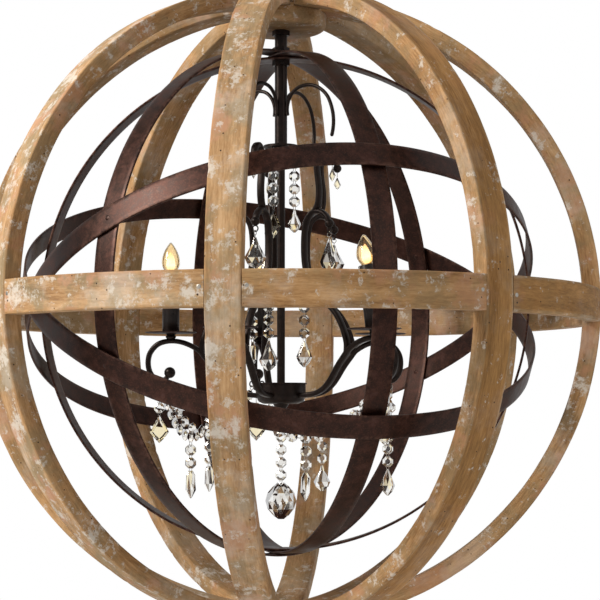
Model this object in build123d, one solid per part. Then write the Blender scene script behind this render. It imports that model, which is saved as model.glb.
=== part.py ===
from build123d import *

import math
import os

# Orb chandelier: a weathered wooden globe of eight ribs and an equator band, a smaller globe
# of five iron hoops inside it, and a five-candle scroll fixture hung with cut crystal.
# Millimetres, +Z up. Heights are measured from the middle of the globe while the pieces are
# made, and every piece is then lowered so that the origin is the middle of the hanging eye.
# Azimuth is in degrees from the front (-Y) towards the right (+X).

# --- wooden globe ---------------------------------------------------------------------
GLOBE_RADIUS = 432.0
RIB_COUNT = 8
RIB_WIDTH = 43.0
RIB_THICKNESS = 24.0
BAND_HEIGHT = 43.0
HUB_RADIUS = 62.0
HUB_THICKNESS = 25.0
HUB_ROUNDING = 8.0

# --- iron hoops -----------------------------------------------------------------------
HOOP_INNER_STACK_RADIUS = 335.0
HOOP_WIDTH = 32.0
HOOP_THICKNESS = 3.0
HOOP_LAP_GAP = 0.6
HOOP_CENTRE_Z = 7.0
UPRIGHT_AZIMUTHS = (90.0, 30.0, -30.0)
TILT_AZIMUTH = 30.0
TILT_ANGLES = (-28.0, 28.0)
RIVET_SHANK_RADIUS = 1.8
RIVET_HOLE_CLEARANCE = 0.1
RIVET_HEAD_RADIUS = 3.4
RIVET_HEAD_HEIGHT = 0.8
RIVET_REACH = 2

# --- stem -----------------------------------------------------------------------------
STEM_RADIUS = 8.5
STEM_BOTTOM_Z = 225.0
ROD_RADIUS = 5.5
ROD_LAP = 16.0
SLIP_FIT = 0.1
STEM_CLEARANCE = 0.2
NUT_ACROSS_FLATS = 21.0
NUT_HEIGHT = 7.0
NUT_SEAT_GAP = 0.3
EYE_HOLE_RADIUS = 12.0
EYE_RIM = 10.0
EYE_THICKNESS = 9.0
EYE_COLLAR_RADIUS = 11.0
EYE_COLLAR_HEIGHT = 6.0
EYE_SHANK_LENGTH = 20.0
STEM_ABOVE_NUT = 5.0
CROWN_RADIUS = 24.0
CROWN_THICKNESS = 3.0
CROWN_BOSS_RADIUS = 9.0
CROWN_BOSS_HEIGHT = 8.0

# --- cup at the foot of the stem ------------------------------------------------------
CUP_RADIUS = 34.0
CUP_TOP_Z = -101.0
CUP_HEIGHT = 29.0
CUP_WALL = 2.5
CUP_LID_THICKNESS = 2.0
CUP_LID_OVERHANG = 1.5
FINIAL_BALL_RADIUS = 8.0
FINIAL_NECK_RADIUS = 6.0
FINIAL_FLANGE_RADIUS = 11.0
FINIAL_FLANGE_HEIGHT = 9.0
ROD_THREAD_LENGTH = 5.5

# --- arms and scrolls: (distance from the axis, height) of the bars' middle lines -------
ARM_AZIMUTHS = (-16.0, 61.0, 124.0, 201.0, 269.0)
BAR_THICKNESS = 7.0
BAR_WIDTH = 10.0
ARM_BALL_RADIUS = 7.8
SCROLL_BALL_RADIUS = 6.0
CANDLE_REACH = 155.5
ARM_TOP_Z = -42.5
ARM_LINE = (
    (30.0, -119.0),
    (60.5, -115.0),
    (79.5, -103.0),
    (96.5, -79.0),
    (106.0, -67.0),
    (117.0, -55.0),
    (136.0, -45.5),
    (CANDLE_REACH, ARM_TOP_Z),
    (173.0, -46.5),
    (184.5, -58.0),
    (188.0, -72.0),
    (185.0, -86.5),
    (175.0, -97.0),
    (163.5, -95.5),
    (157.0, -86.5),
)
CURL_LOW_INSET = 3.0
CURL_LOW_SAG = 1.5
CURL_HOOK_RADIUS = ARM_LINE[-3][0] - CURL_LOW_INSET
CURL_BOTTOM_Z = ARM_LINE[-3][1] - CURL_LOW_SAG
LOWER_SCROLL_LINE = (
    (111.0, -60.5),
    (110.5, -45.5),
    (102.0, -23.0),
    (88.0, -3.0),
    (64.0, 16.0),
    (49.0, 35.0),
    (41.5, 60.0),
    (40.0, 91.0),
    (43.5, 117.0),
    (54.0, 129.0),
    (67.0, 130.0),
    (77.5, 123.0),
    (82.0, 113.0),
)
UPPER_SCROLL_LINE = (
    (56.5, 129.0),
    (63.5, 142.0),
    (65.0, 162.0),
    (61.5, 188.0),
    (62.5, 206.0),
    (72.0, 216.0),
    (83.0, 211.0),
    (87.0, 199.0),
)
HOOK_WIRE_RADIUS = 2.5
HOOK_AZIMUTHS = (65.0, 155.0, 245.0, 335.0)
HOOK_LINE = (
    (STEM_RADIUS + HOOK_WIRE_RADIUS, 266.0),
    (STEM_RADIUS + HOOK_WIRE_RADIUS, 281.0),
    (20.0, 297.0),
    (45.8, 304.0),
    (72.0, 290.0),
    (82.5, 269.0),
    (82.5, 233.0),
)

# --- candles --------------------------------------------------------------------------
CANDLE_LEANS = (0.0, 8.0, 0.0, 0.0, 0.0)
NECK_RADIUS = 7.3
NECK_HEIGHT = 6.5
NIPPLE_RADIUS = 5.0
PAN_RADIUS = 36.0
PAN_THICKNESS = 1.4
PAN_RIM_RISE = 1.0
PAN_DISH_RADIUS = 17.0
PAN_BORE_CLEARANCE = 0.6
SLEEVE_RADIUS = 12.0
SLEEVE_WALL = 1.0
SLEEVE_HEIGHT = 83.0
SOCKET_HEIGHT = 38.0
SOCKET_DEPTH = 30.0
SOCKET_FIT = 0.2
BULB_BASE_RADIUS = 6.1
BULB_BASE_LENGTH = 26.0
BULB_BASE_WALL = 0.8
BULB_GLASS_WALL = 1.0
BULB_GLASS_RADIUS = 12.6
BULB_HEIGHT = 42.0
RUNNING_GAP = 0.3

# --- crystal --------------------------------------------------------------------------
LINK_EYE_RADIUS = 4.0
LINK_EYE_WIRE = 1.0
LINK_EYE_SINK = 0.4
RING_RADIUS = 3.2
RING_WIRE = 0.5
PIN_RADIUS = 0.5
PIN_LENGTH = 3.0
OCTAGON_WIDTH = 14.5
OCTAGON_DEPTH = 6.5
OCTAGON_TABLE = 0.6
DROP_SIDES = 8
DROP_DEPTH_RATIO = 0.55
BALL_SIDES = 10
GARLAND_SAG = 64.0
FACING_AZIMUTH = 9.0
CROWN_STRING_RADIUS = 20.0
INNER_STRING_RADIUS = 40.0
INNER_STRING_Z = 37.0
INNER_PEG_LENGTH = 9.0
PEG_RADIUS = 1.3

# Outlines of the hanging crystals: (share of the length from the top, share of half width).
PEAR = ((0.0, 0.12), (0.22, 0.34), (0.64, 1.0), (0.84, 0.80), (1.0, 0.15))
ALMOND = ((0.0, 0.12), (0.34, 0.66), (0.62, 1.0), (0.84, 0.70), (1.0, 0.12))
KITE = ((0.0, 0.14), (0.60, 1.0), (1.0, 0.16))
SPEAR = ((0.0, 0.45), (0.16, 0.90), (0.70, 1.0), (1.0, 0.12))
ROUND = ((0.0, 0.20), (0.10, 0.50), (0.28, 0.84), (0.50, 1.0), (0.72, 0.84), (0.90, 0.50), (1.0, 0.20))

# --- places worked out from the sizes above ---------------------------------------------
RIB_ANGLE = 360.0 / RIB_COUNT
RIB_INNER_RADIUS = GLOBE_RADIUS - RIB_THICKNESS
HUB_FAR_Z = RIB_INNER_RADIUS - HUB_THICKNESS
HOOP_PITCH = HOOP_THICKNESS + HOOP_LAP_GAP
HOOP_COUNT = len(UPRIGHT_AZIMUTHS) + len(TILT_ANGLES)
HOOP_STACK_TOP = HOOP_INNER_STACK_RADIUS + (len(UPRIGHT_AZIMUTHS) - 1) * HOOP_PITCH + HOOP_THICKNESS
TOP_NUT_Z = GLOBE_RADIUS + NUT_SEAT_GAP
STEM_TOP_Z = TOP_NUT_Z + NUT_HEIGHT + STEM_ABOVE_NUT
STEM_BORE = ROD_RADIUS + SLIP_FIT
EYE_Z = STEM_TOP_Z + EYE_COLLAR_HEIGHT + EYE_HOLE_RADIUS + EYE_RIM - 2.0
CUP_BOTTOM_Z = CUP_TOP_Z - CUP_HEIGHT
FINIAL_BALL_Z = CUP_BOTTOM_Z - FINIAL_FLANGE_HEIGHT - FINIAL_BALL_RADIUS + 2.0
PAN_Z = ARM_TOP_Z + BAR_THICKNESS / 2 + NECK_HEIGHT
PAN_TOP_Z = PAN_Z + PAN_THICKNESS
SOCKET_Z = SLEEVE_HEIGHT - SOCKET_HEIGHT
BULB_SEAT_Z = SLEEVE_HEIGHT - SOCKET_DEPTH + RUNNING_GAP
RING_DROP = RING_RADIUS - RING_WIRE - LINK_EYE_WIRE - RUNNING_GAP
CURL_HOOK_Z = CURL_BOTTOM_Z - BAR_THICKNESS / 2 - 2 * LINK_EYE_RADIUS + LINK_EYE_SINK
RING_TOP = RING_RADIUS + RING_WIRE - RING_DROP
GARLAND_HOOK_Z = CURL_BOTTOM_Z - BAR_THICKNESS / 2 - RING_TOP - 2 * RUNNING_GAP
GARLAND_EYE_REACH = BAR_WIDTH / 2 + LINK_EYE_RADIUS + LINK_EYE_WIRE / 2
SCROLL_HOOK_Z = LOWER_SCROLL_LINE[-1][1] - SCROLL_BALL_RADIUS - 2 * LINK_EYE_RADIUS + LINK_EYE_SINK
CROWN_HOOK_Z = STEM_BOTTOM_Z - CROWN_THICKNESS - 2 * LINK_EYE_RADIUS + LINK_EYE_SINK
INNER_HOOK_Z = INNER_STRING_Z - 2 * LINK_EYE_RADIUS
CENTRE_HOOK_Z = FINIAL_BALL_Z - FINIAL_BALL_RADIUS - 2 * LINK_EYE_RADIUS + LINK_EYE_SINK


def bearing(azimuth, radius, z):
    """The point at an azimuth, a distance from the axis and a height."""
    turn = math.radians(azimuth)
    return Vector(radius * math.sin(turn), -radius * math.cos(turn), z)


def at_azimuth(shape, azimuth):
    """Turn a shape made in the X-Z plane so that its +X side looks along an azimuth."""
    return Rot(0, 0, azimuth - 90.0) * shape


def write(node, *solids):
    """Lower the pieces to the hanging eye's frame and write them as one node."""
    placed = [Pos(0, 0, -EYE_Z) * solid for shape in solids for solid in shape.solids()]
    export_step(Compound(children=placed) if len(placed) > 1 else placed[0], f"parts/{node}.step")


def tube(outer, inner, height):
    """A round tube that stands on the X-Y plane."""
    align = (Align.CENTER, Align.CENTER, Align.MIN)
    return Cylinder(outer, height, align=align) - Cylinder(inner, height, align=align)


def post(radius, height):
    """A round bar that stands on the X-Y plane."""
    return Cylinder(radius, height, align=(Align.CENTER, Align.CENTER, Align.MIN))


def ball(radius):
    """A ball with its poles on its two sides, clear of an eye above or below it."""
    return Rot(90, 0, 0) * Sphere(radius)


# --- smooth bars ------------------------------------------------------------------------
def smooth_arcs(points):
    """Join points with pairs of arcs that meet without a corner.

    Each arc comes back as (start, middle, end, turn), where turn is in radians and start,
    middle and end are (place, direction) pairs.
    """
    places = [Vector(x, z, 0) for x, z in points]
    steps = [b - a for a, b in zip(places, places[1:])]
    directions = []
    for before, after in zip(steps, steps[1:]):
        ratio = after.length / before.length
        directions.append((before * ratio + after * (1 / ratio)).normalized())
    first = steps[0].normalized()
    last = steps[-1].normalized()
    directions.insert(0, first * (2 * first.dot(directions[0])) - directions[0])
    directions.append(last * (2 * last.dot(directions[-1])) - directions[-1])
    arcs = []
    for index, span in enumerate(steps):
        start, end = places[index], places[index + 1]
        leave, arrive = directions[index], directions[index + 1]
        both = leave + arrive
        spare = 2 * (1 - leave.dot(arrive))
        reach = span.dot(span) / (2 * span.dot(both))
        if spare > 1e-9:
            reach = (math.sqrt(span.dot(both) ** 2 + spare * span.dot(span)) - span.dot(both)) / spare
        joint = (start + leave * reach + end - arrive * reach) * 0.5
        arcs.append(arc_between(start, leave, joint))
        arcs.append(arc_between(joint, arcs[-1][2][1], end))
    return arcs


def arc_between(start, leave, end):
    """The arc that leaves start in a direction and reaches end."""
    chord = end - start
    across = leave.X * chord.Y - leave.Y * chord.X
    half = math.atan2(across, leave.dot(chord))
    middle_direction = chord.normalized()
    bow = 0.5 * chord.length * math.tan(half / 2)
    side = Vector(-middle_direction.Y, middle_direction.X, 0)
    middle = (start + end) * 0.5 - side * bow
    return (start, leave), (middle, middle_direction), (end, turned(leave, 2 * half)), 2 * half


def turned(direction, angle):
    """A direction of the X-Y plane turned by an angle in radians."""
    cosine, sine = math.cos(angle), math.sin(angle)
    return Vector(direction.X * cosine - direction.Y * sine, direction.X * sine + direction.Y * cosine, 0)


def upright(place):
    """Stand a point of the flat drawing up in the X-Z plane."""
    return Vector(place.X, 0, place.Y)


def side_edge(arc, offset):
    """The edge that follows an arc at a distance to its left."""
    points = [place + Vector(-way.Y, way.X, 0) * offset for place, way in arc[:3]]
    if abs(arc[3]) < 1e-4:
        return Edge.make_line(upright(points[0]), upright(points[2]))
    return Edge.make_three_point_arc(*[upright(point) for point in points])


def flat_bar(points, thickness, width):
    """A flat bar bent on edge along a smooth line in the X-Z plane."""
    arcs = smooth_arcs(points)
    left = [side_edge(arc, thickness / 2) for arc in arcs]
    right = [side_edge(arc, -thickness / 2) for arc in arcs]
    caps = [
        Edge.make_line(left[0] @ 0, right[0] @ 0),
        Edge.make_line(left[-1] @ 1, right[-1] @ 1),
    ]
    outline = Wire(left + right + caps)
    return extrude(Face(outline), amount=width / 2, both=True)


def round_wire(points, radius):
    """A round wire bent along a smooth line in the X-Z plane."""
    arcs = smooth_arcs(points)
    path = Wire([side_edge(arc, 0.0) for arc in arcs])
    start, way = arcs[0][0]
    section = Plane(origin=upright(start), z_dir=upright(way)) * Circle(radius)
    tip = Pos(upright(arcs[-1][2][0])) * Sphere(radius)
    return sweep(section, path=path) + tip


# --- wooden globe ------------------------------------------------------------------------
def globe_arch():
    """One rib: half a hoop from pole to pole, mitred against its neighbours."""
    hoop = Rot(90, 0, 0) * (Cylinder(GLOBE_RADIUS, RIB_WIDTH) - Cylinder(RIB_INNER_RADIUS, RIB_WIDTH))
    reach = 1.1 * GLOBE_RADIUS
    half = reach * math.tan(math.radians(RIB_ANGLE / 2))
    mitre = extrude(Polygon((0, 0), (reach, -half), (reach, half), align=None), amount=reach, both=True)
    stem_hole = post(STEM_RADIUS + STEM_CLEARANCE, reach)
    return (hoop & mitre) - stem_hole


def wooden_ribs():
    arch = globe_arch()
    return [at_azimuth(arch, index * RIB_ANGLE) for index in range(RIB_COUNT)]


def equator_band():
    """The band's segments, each butted between two ribs."""
    band = Cylinder(GLOBE_RADIUS, BAND_HEIGHT) - Cylinder(RIB_INNER_RADIUS, BAND_HEIGHT)
    length = 1.1 * GLOBE_RADIUS
    align = (Align.MIN, Align.CENTER, Align.CENTER)
    slot = Box(length, RIB_WIDTH, 2 * BAND_HEIGHT, align=align)
    for index in range(RIB_COUNT):
        band -= at_azimuth(slot, index * RIB_ANGLE)
    return band


def top_hub(ribs):
    """A turned disc inside the top pole, with its outer face cut to sit against the ribs."""
    disc = Cylinder(HUB_RADIUS, HUB_THICKNESS, align=(Align.CENTER, Align.CENTER, Align.MIN))
    disc = fillet(disc.edges().group_by(Axis.Z)[0], HUB_ROUNDING)
    disc = Pos(0, 0, HUB_FAR_Z) * disc - post(STEM_RADIUS + STEM_CLEARANCE, GLOBE_RADIUS)
    for rib in ribs:
        disc -= rib
    return disc


# --- iron hoops --------------------------------------------------------------------------
def seat_under(radius, reach):
    """The height at which a flat face of a given reach touches the inside of a hoop's pole."""
    return math.sqrt(radius**2 - reach**2)


def hoop_frames():
    """Each hoop's inner radius, with the turn that takes a level hoop to its place."""
    frames = []
    for level, azimuth in enumerate(UPRIGHT_AZIMUTHS):
        turn = Rot(0, 0, azimuth - 90.0) * Rot(90, 0, 0)
        frames.append((HOOP_INNER_STACK_RADIUS + level * HOOP_PITCH, turn))
    for level, tilt in enumerate(TILT_ANGLES, start=len(UPRIGHT_AZIMUTHS)):
        turn = Rot(0, 0, TILT_AZIMUTH - 90.0) * Rot(0, tilt, 0)
        frames.append((HOOP_INNER_STACK_RADIUS + level * HOOP_PITCH, turn))
    return frames


def hoop_crossings(frames):
    """Where two near hoops cross away from the poles: (inner radius, outer radius, direction)."""
    crossings = []
    for first in range(HOOP_COUNT):
        for second in range(max(first + 1, len(UPRIGHT_AZIMUTHS)), min(first + RIVET_REACH + 1, HOOP_COUNT)):
            normals = [Plane(frames[hoop][1]).z_dir for hoop in (first, second)]
            way = normals[0].cross(normals[1]).normalized()
            outer = frames[second][0] + HOOP_THICKNESS
            crossings.append((frames[first][0], outer, way))
            crossings.append((frames[first][0], outer, way * -1))
    return crossings


def pole_crossing(frames):
    """The bottom pole, where the three upright hoops lie on each other."""
    return frames[0][0], HOOP_STACK_TOP, Vector(0, 0, -1)


def iron_hoops(frames, crossings):
    hoops = []
    hole_radius = RIVET_SHANK_RADIUS + RIVET_HOLE_CLEARANCE
    for inner, turn in frames:
        hoop = Cylinder(inner + HOOP_THICKNESS, HOOP_WIDTH) - Cylinder(inner, HOOP_WIDTH)
        hoop = turn * hoop
        for _, _, way in crossings:
            if abs(way.dot(Plane(turn).z_dir)) < 1e-6:
                hoop -= Plane(origin=(0, 0, 0), z_dir=way) * post(hole_radius, 1.2 * inner)
        hoops.append(hoop)
    for index in range(len(UPRIGHT_AZIMUTHS)):
        hoops[index] -= post(STEM_RADIUS + STEM_CLEARANCE, GLOBE_RADIUS)
    return hoops


def hoop_rivet(inner, outer, way):
    """A rivet through two hoops, with a domed head on each side."""
    seat = seat_under(inner, RIVET_HEAD_RADIUS)
    shank = Pos(0, 0, seat) * post(RIVET_SHANK_RADIUS, outer - seat)
    sphere_radius = (RIVET_HEAD_RADIUS**2 + RIVET_HEAD_HEIGHT**2) / (2 * RIVET_HEAD_HEIGHT)
    dome = Pos(0, 0, RIVET_HEAD_HEIGHT - sphere_radius) * Sphere(sphere_radius)
    dome &= post(2 * RIVET_HEAD_RADIUS, 2 * RIVET_HEAD_HEIGHT)
    outer_head = Pos(0, 0, outer) * dome
    inner_head = Pos(0, 0, seat) * Rot(180, 0, 0) * dome
    return Plane(origin=(0, 0, 0), z_dir=way) * (shank + outer_head + inner_head)


# --- stem --------------------------------------------------------------------------------
def hanging_eye():
    """The flat eye, its collar and the shank that screws into the stem."""
    rim_radius = EYE_HOLE_RADIUS + EYE_RIM
    rim = Pos(0, 0, EYE_Z) * Rot(0, 90, 0) * Cylinder(rim_radius, EYE_THICKNESS)
    collar = Pos(0, 0, STEM_TOP_Z) * post(EYE_COLLAR_RADIUS, EYE_COLLAR_HEIGHT)
    shank = Pos(0, 0, STEM_TOP_Z - EYE_SHANK_LENGTH) * post(STEM_BORE - SLIP_FIT, EYE_SHANK_LENGTH)
    hole = Pos(0, 0, EYE_Z) * Rot(0, 90, 0) * Cylinder(EYE_HOLE_RADIUS, 2 * EYE_THICKNESS)
    return rim + collar + shank - hole


def stem_nuts():
    """Four nuts on the stem: on the globe, under its hub, and above and below the hoops."""
    nut = extrude(RegularPolygon(NUT_ACROSS_FLATS / 2, 6, major_radius=False), amount=NUT_HEIGHT)
    nut -= post(STEM_RADIUS + SLIP_FIT, NUT_HEIGHT)
    corner = NUT_ACROSS_FLATS / math.sqrt(3)
    seats = (
        TOP_NUT_Z,
        HUB_FAR_Z - NUT_HEIGHT,
        HOOP_CENTRE_Z + HOOP_STACK_TOP + NUT_SEAT_GAP,
        HOOP_CENTRE_Z + seat_under(HOOP_INNER_STACK_RADIUS, corner) - NUT_HEIGHT,
    )
    return [Pos(0, 0, seat) * nut for seat in seats]


def link_eye():
    """A wire eye across the arm's plane, with its hook point, the middle of its lowest wire, at 0."""
    return Pos(0, 0, LINK_EYE_RADIUS) * Rot(0, 90, 0) * Torus(LINK_EYE_RADIUS, LINK_EYE_WIRE)


def crown_plate():
    """The small plate under the stem tube, with the eyes that carry the crown's strings."""
    plate = Pos(0, 0, STEM_BOTTOM_Z - CROWN_THICKNESS) * post(CROWN_RADIUS, CROWN_THICKNESS)
    boss_z = STEM_BOTTOM_Z - CROWN_THICKNESS - CROWN_BOSS_HEIGHT
    plate += Pos(0, 0, boss_z) * post(CROWN_BOSS_RADIUS, CROWN_BOSS_HEIGHT)
    plate -= Pos(0, 0, boss_z) * post(ROD_RADIUS + SLIP_FIT, 2 * CROWN_BOSS_HEIGHT)
    for azimuth in CROWN_STRING_AZIMUTHS:
        eye = Pos(bearing(azimuth, CROWN_STRING_RADIUS, CROWN_HOOK_Z)) * Rot(0, 0, azimuth) * link_eye()
        plate += eye
    return plate


def hub_cup():
    """The open drum that takes the arms' feet, with a hole for the rod in its floor."""
    height = CUP_HEIGHT - CUP_LID_THICKNESS
    cup = Pos(0, 0, CUP_BOTTOM_Z) * post(CUP_RADIUS, height)
    cup -= Pos(0, 0, CUP_BOTTOM_Z + CUP_WALL) * post(CUP_RADIUS - CUP_WALL, height)
    return cup - Pos(0, 0, CUP_BOTTOM_Z) * post(ROD_RADIUS + SLIP_FIT, height)


def cup_lid():
    radius = CUP_RADIUS + CUP_LID_OVERHANG
    return Pos(0, 0, CUP_TOP_Z - CUP_LID_THICKNESS) * tube(radius, ROD_RADIUS + SLIP_FIT, CUP_LID_THICKNESS)


def bottom_finial():
    """The nut, ball and eye that close the rod's foot."""
    flange_z = CUP_BOTTOM_Z - FINIAL_FLANGE_HEIGHT
    finial = Pos(0, 0, flange_z) * Cone(
        FINIAL_NECK_RADIUS,
        FINIAL_FLANGE_RADIUS,
        FINIAL_FLANGE_HEIGHT,
        align=(Align.CENTER, Align.CENTER, Align.MIN),
    )
    finial += Pos(0, 0, FINIAL_BALL_Z) * ball(FINIAL_BALL_RADIUS)
    finial += Pos(0, 0, CENTRE_HOOK_Z) * link_eye()
    bore_z = CUP_BOTTOM_Z - ROD_THREAD_LENGTH - SLIP_FIT
    return finial - Pos(0, 0, bore_z) * post(ROD_RADIUS + SLIP_FIT, FINIAL_FLANGE_HEIGHT)


def stem_rod():
    """The thin rod from inside the stem tube down into the finial."""
    bottom = CUP_BOTTOM_Z - ROD_THREAD_LENGTH
    return Pos(0, 0, bottom) * post(ROD_RADIUS, STEM_BOTTOM_Z + ROD_LAP - bottom)


# --- arms and scrolls ----------------------------------------------------------------------
def candle_arm():
    """An arm from the cup out under its candle, curled back to a ball."""
    arm = flat_bar(ARM_LINE, BAR_THICKNESS, BAR_WIDTH)
    arm += Pos(ARM_LINE[-1][0], 0, ARM_LINE[-1][1]) * ball(ARM_BALL_RADIUS)
    arm += Pos(CURL_HOOK_RADIUS, 0, CURL_HOOK_Z) * link_eye()
    return arm - Pos(0, 0, CUP_BOTTOM_Z) * post(CUP_RADIUS, CUP_HEIGHT)


def eye_along(place, along):
    """A wire eye whose lowest wire passes through a point, in line with a level direction."""
    frame = Plane(origin=place, x_dir=along, z_dir=Vector(0, 0, 1))
    return frame * Pos(0, 0, LINK_EYE_RADIUS) * Rot(90, 0, 0) * Torus(LINK_EYE_RADIUS, LINK_EYE_WIRE)


def garland_line(index):
    """A garland's two hook points, beside the facing sides of two arms' curls, and its direction."""
    following = (index + 1) % len(ARM_AZIMUTHS)
    here = bearing(ARM_AZIMUTHS[index], CURL_HOOK_RADIUS, GARLAND_HOOK_Z)
    there = bearing(ARM_AZIMUTHS[following], CURL_HOOK_RADIUS, GARLAND_HOOK_Z)
    along = (there - here).normalized()
    return here + along * GARLAND_EYE_REACH, there - along * GARLAND_EYE_REACH, along


def hooked_arm(arm, index):
    """An arm in its place, with the eyes for the garlands on its two sides."""
    start, _, leaving = garland_line(index)
    _, end, arriving = garland_line(index - 1)
    return at_azimuth(arm, ARM_AZIMUTHS[index]) + eye_along(start, leaving) + eye_along(end, arriving)


def lower_scroll(arm, has_peg):
    """The scroll that rises from an arm, bends in past the stem and curls out to a ball."""
    scroll = flat_bar(LOWER_SCROLL_LINE, BAR_THICKNESS, BAR_WIDTH)
    end_x, end_z = LOWER_SCROLL_LINE[-1]
    scroll += Pos(end_x, 0, end_z) * ball(SCROLL_BALL_RADIUS)
    scroll += Pos(end_x, 0, SCROLL_HOOK_Z) * link_eye()
    if has_peg:
        peg = Rot(0, 90, 0) * post(PEG_RADIUS, INNER_PEG_LENGTH)
        scroll += Pos(INNER_STRING_RADIUS - PEG_RADIUS, 0, INNER_STRING_Z) * peg
        scroll += Pos(INNER_STRING_RADIUS, 0, INNER_HOOK_Z) * link_eye()
    return scroll - arm


def upper_scroll(lower):
    """The scroll that rises from the lower one's curl to a ball of its own."""
    scroll = flat_bar(UPPER_SCROLL_LINE, BAR_THICKNESS, BAR_WIDTH)
    scroll += Pos(UPPER_SCROLL_LINE[-1][0], 0, UPPER_SCROLL_LINE[-1][1]) * ball(SCROLL_BALL_RADIUS)
    return max((scroll - lower).solids(), key=lambda solid: solid.volume)


# --- candles --------------------------------------------------------------------------------
def candle_place(arm_index):
    """Where a candle stands: on its pan, leaning in towards the stem by its own angle."""
    lean = CANDLE_LEANS[arm_index]
    lift = SLEEVE_RADIUS * math.sin(math.radians(lean))
    turn = Rot(0, 0, ARM_AZIMUTHS[arm_index] - 90.0)
    return turn * Pos(CANDLE_REACH, 0, PAN_TOP_Z + lift) * Rot(0, -lean, 0)


def candle_neck(arm, arm_index):
    """The neck on the arm, with the nipple that runs up through the pan to the socket."""
    neck = Pos(CANDLE_REACH, 0, PAN_Z - NECK_HEIGHT) * post(NECK_RADIUS, NECK_HEIGHT) - arm
    nipple_foot = PAN_THICKNESS + NECK_HEIGHT / 2
    nipple = Pos(0, 0, -nipple_foot) * post(NIPPLE_RADIUS, SOCKET_Z + nipple_foot)
    return at_azimuth(neck, ARM_AZIMUTHS[arm_index]) + candle_place(arm_index) * nipple


def drip_pan():
    """A thin dish with a raised rim, bored for the nipple."""
    bore = NIPPLE_RADIUS + PAN_BORE_CLEARANCE
    profile = Polygon(
        (bore, 0),
        (PAN_DISH_RADIUS, 0),
        (PAN_RADIUS, PAN_RIM_RISE),
        (PAN_RADIUS, PAN_RIM_RISE + PAN_THICKNESS),
        (PAN_DISH_RADIUS, PAN_THICKNESS),
        (bore, PAN_THICKNESS),
        align=None,
    )
    return Pos(CANDLE_REACH, 0, PAN_Z) * revolve(Plane.XZ * profile, Axis.Z)


def lamp_socket():
    """The screw socket inside a sleeve, open at the top."""
    outer = SLEEVE_RADIUS - SLEEVE_WALL - SOCKET_FIT
    socket = Pos(0, 0, SOCKET_Z) * post(outer, SOCKET_HEIGHT)
    return socket - Pos(0, 0, SLEEVE_HEIGHT - SOCKET_DEPTH) * post(BULB_BASE_RADIUS + RUNNING_GAP, SOCKET_DEPTH)


def bulb():
    """A flame-shaped bulb: its screw base and the glass, with its tip drawn to a point."""
    base_top = BULB_SEAT_Z + BULB_BASE_LENGTH
    base = Pos(0, 0, BULB_SEAT_Z) * post(BULB_BASE_RADIUS, BULB_BASE_LENGTH)
    inner_base = BULB_BASE_RADIUS - BULB_BASE_WALL
    base -= Pos(0, 0, BULB_SEAT_Z + BULB_BASE_WALL) * post(inner_base, BULB_BASE_LENGTH)
    shoulder_z = SLEEVE_HEIGHT + RUNNING_GAP
    glass = flame(shoulder_z, BULB_GLASS_RADIUS, BULB_HEIGHT, BULB_BASE_RADIUS)
    wall = BULB_GLASS_WALL
    hollow = flame(shoulder_z, BULB_GLASS_RADIUS - wall, BULB_HEIGHT - 2 * wall, BULB_BASE_RADIUS - wall)
    throat = Pos(0, 0, base_top) * post(BULB_BASE_RADIUS, shoulder_z - base_top)
    glass = glass + throat - hollow - Pos(0, 0, base_top) * post(BULB_BASE_RADIUS - wall, shoulder_z - base_top)
    return base, glass


def flame(foot_z, radius, height, foot_radius):
    """A solid flame shape: belly at a third of its height, tip at the top."""
    belly_z = foot_z + height * 0.34
    tip_radius = foot_radius * 0.16
    tip_z = foot_z + height
    belly = Vector(radius, 0, belly_z)
    foot = Vector(foot_radius, 0, foot_z)
    tip = Vector(tip_radius, 0, tip_z)
    side = [
        Edge.make_spline([foot, belly], tangents=[Vector(0.9, 0, 1), Vector(0, 0, 1)]),
        Edge.make_spline([belly, tip], tangents=[Vector(0, 0, 1), Vector(-0.16, 0, 1)]),
    ]
    closing = [
        Edge.make_line(tip, Vector(0, 0, tip_z)),
        Edge.make_line(Vector(0, 0, tip_z), Vector(0, 0, foot_z)),
        Edge.make_line(Vector(0, 0, foot_z), foot),
    ]
    return revolve(Face(Wire(side + closing)), Axis.Z)


# --- crystal ---------------------------------------------------------------------------------
def gem(rings, sides):
    """Cut glass: flat facets between many-sided rings, each (height, half width, half depth)."""
    sections = []
    for height, half_width, half_depth in rings:
        corners = []
        for corner in range(sides):
            angle = 2 * math.pi * (corner + 0.5) / sides
            corners.append((half_width * math.cos(angle), half_depth * math.sin(angle)))
        sections.append(Plane.XY.offset(height) * Polygon(*corners, align=None))
    return loft(sections, ruled=True)


def octagon():
    """A flat octagon bead in the X-Z plane, its top edge at 0 and its facets front and back."""
    flat_radius = OCTAGON_WIDTH / 2 / math.cos(math.pi / 8)
    table = OCTAGON_TABLE * flat_radius
    bead = gem(
        (
            (-OCTAGON_DEPTH / 2, table, table),
            (0.0, flat_radius, flat_radius),
            (OCTAGON_DEPTH / 2, table, table),
        ),
        8,
    )
    return Pos(0, 0, -OCTAGON_WIDTH / 2) * Rot(90, 0, 0) * bead


def drop(outline, length, width, depth_ratio=DROP_DEPTH_RATIO, sides=DROP_SIDES):
    """A hanging crystal in the X-Z plane with its top at 0."""
    rings = [(-share * length, half * width / 2, half * width / 2 * depth_ratio) for share, half in outline]
    return gem(rings[::-1], sides)


def hanger(pin_length=PIN_LENGTH):
    """The ring that hangs in an eye at the origin, with the pin below it."""
    ring = Pos(0, 0, -RING_DROP) * Rot(90, 0, 0) * Torus(RING_RADIUS, RING_WIRE)
    return ring + Pos(0, 0, -(RING_DROP + RING_RADIUS + pin_length)) * post(PIN_RADIUS, pin_length)


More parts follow.
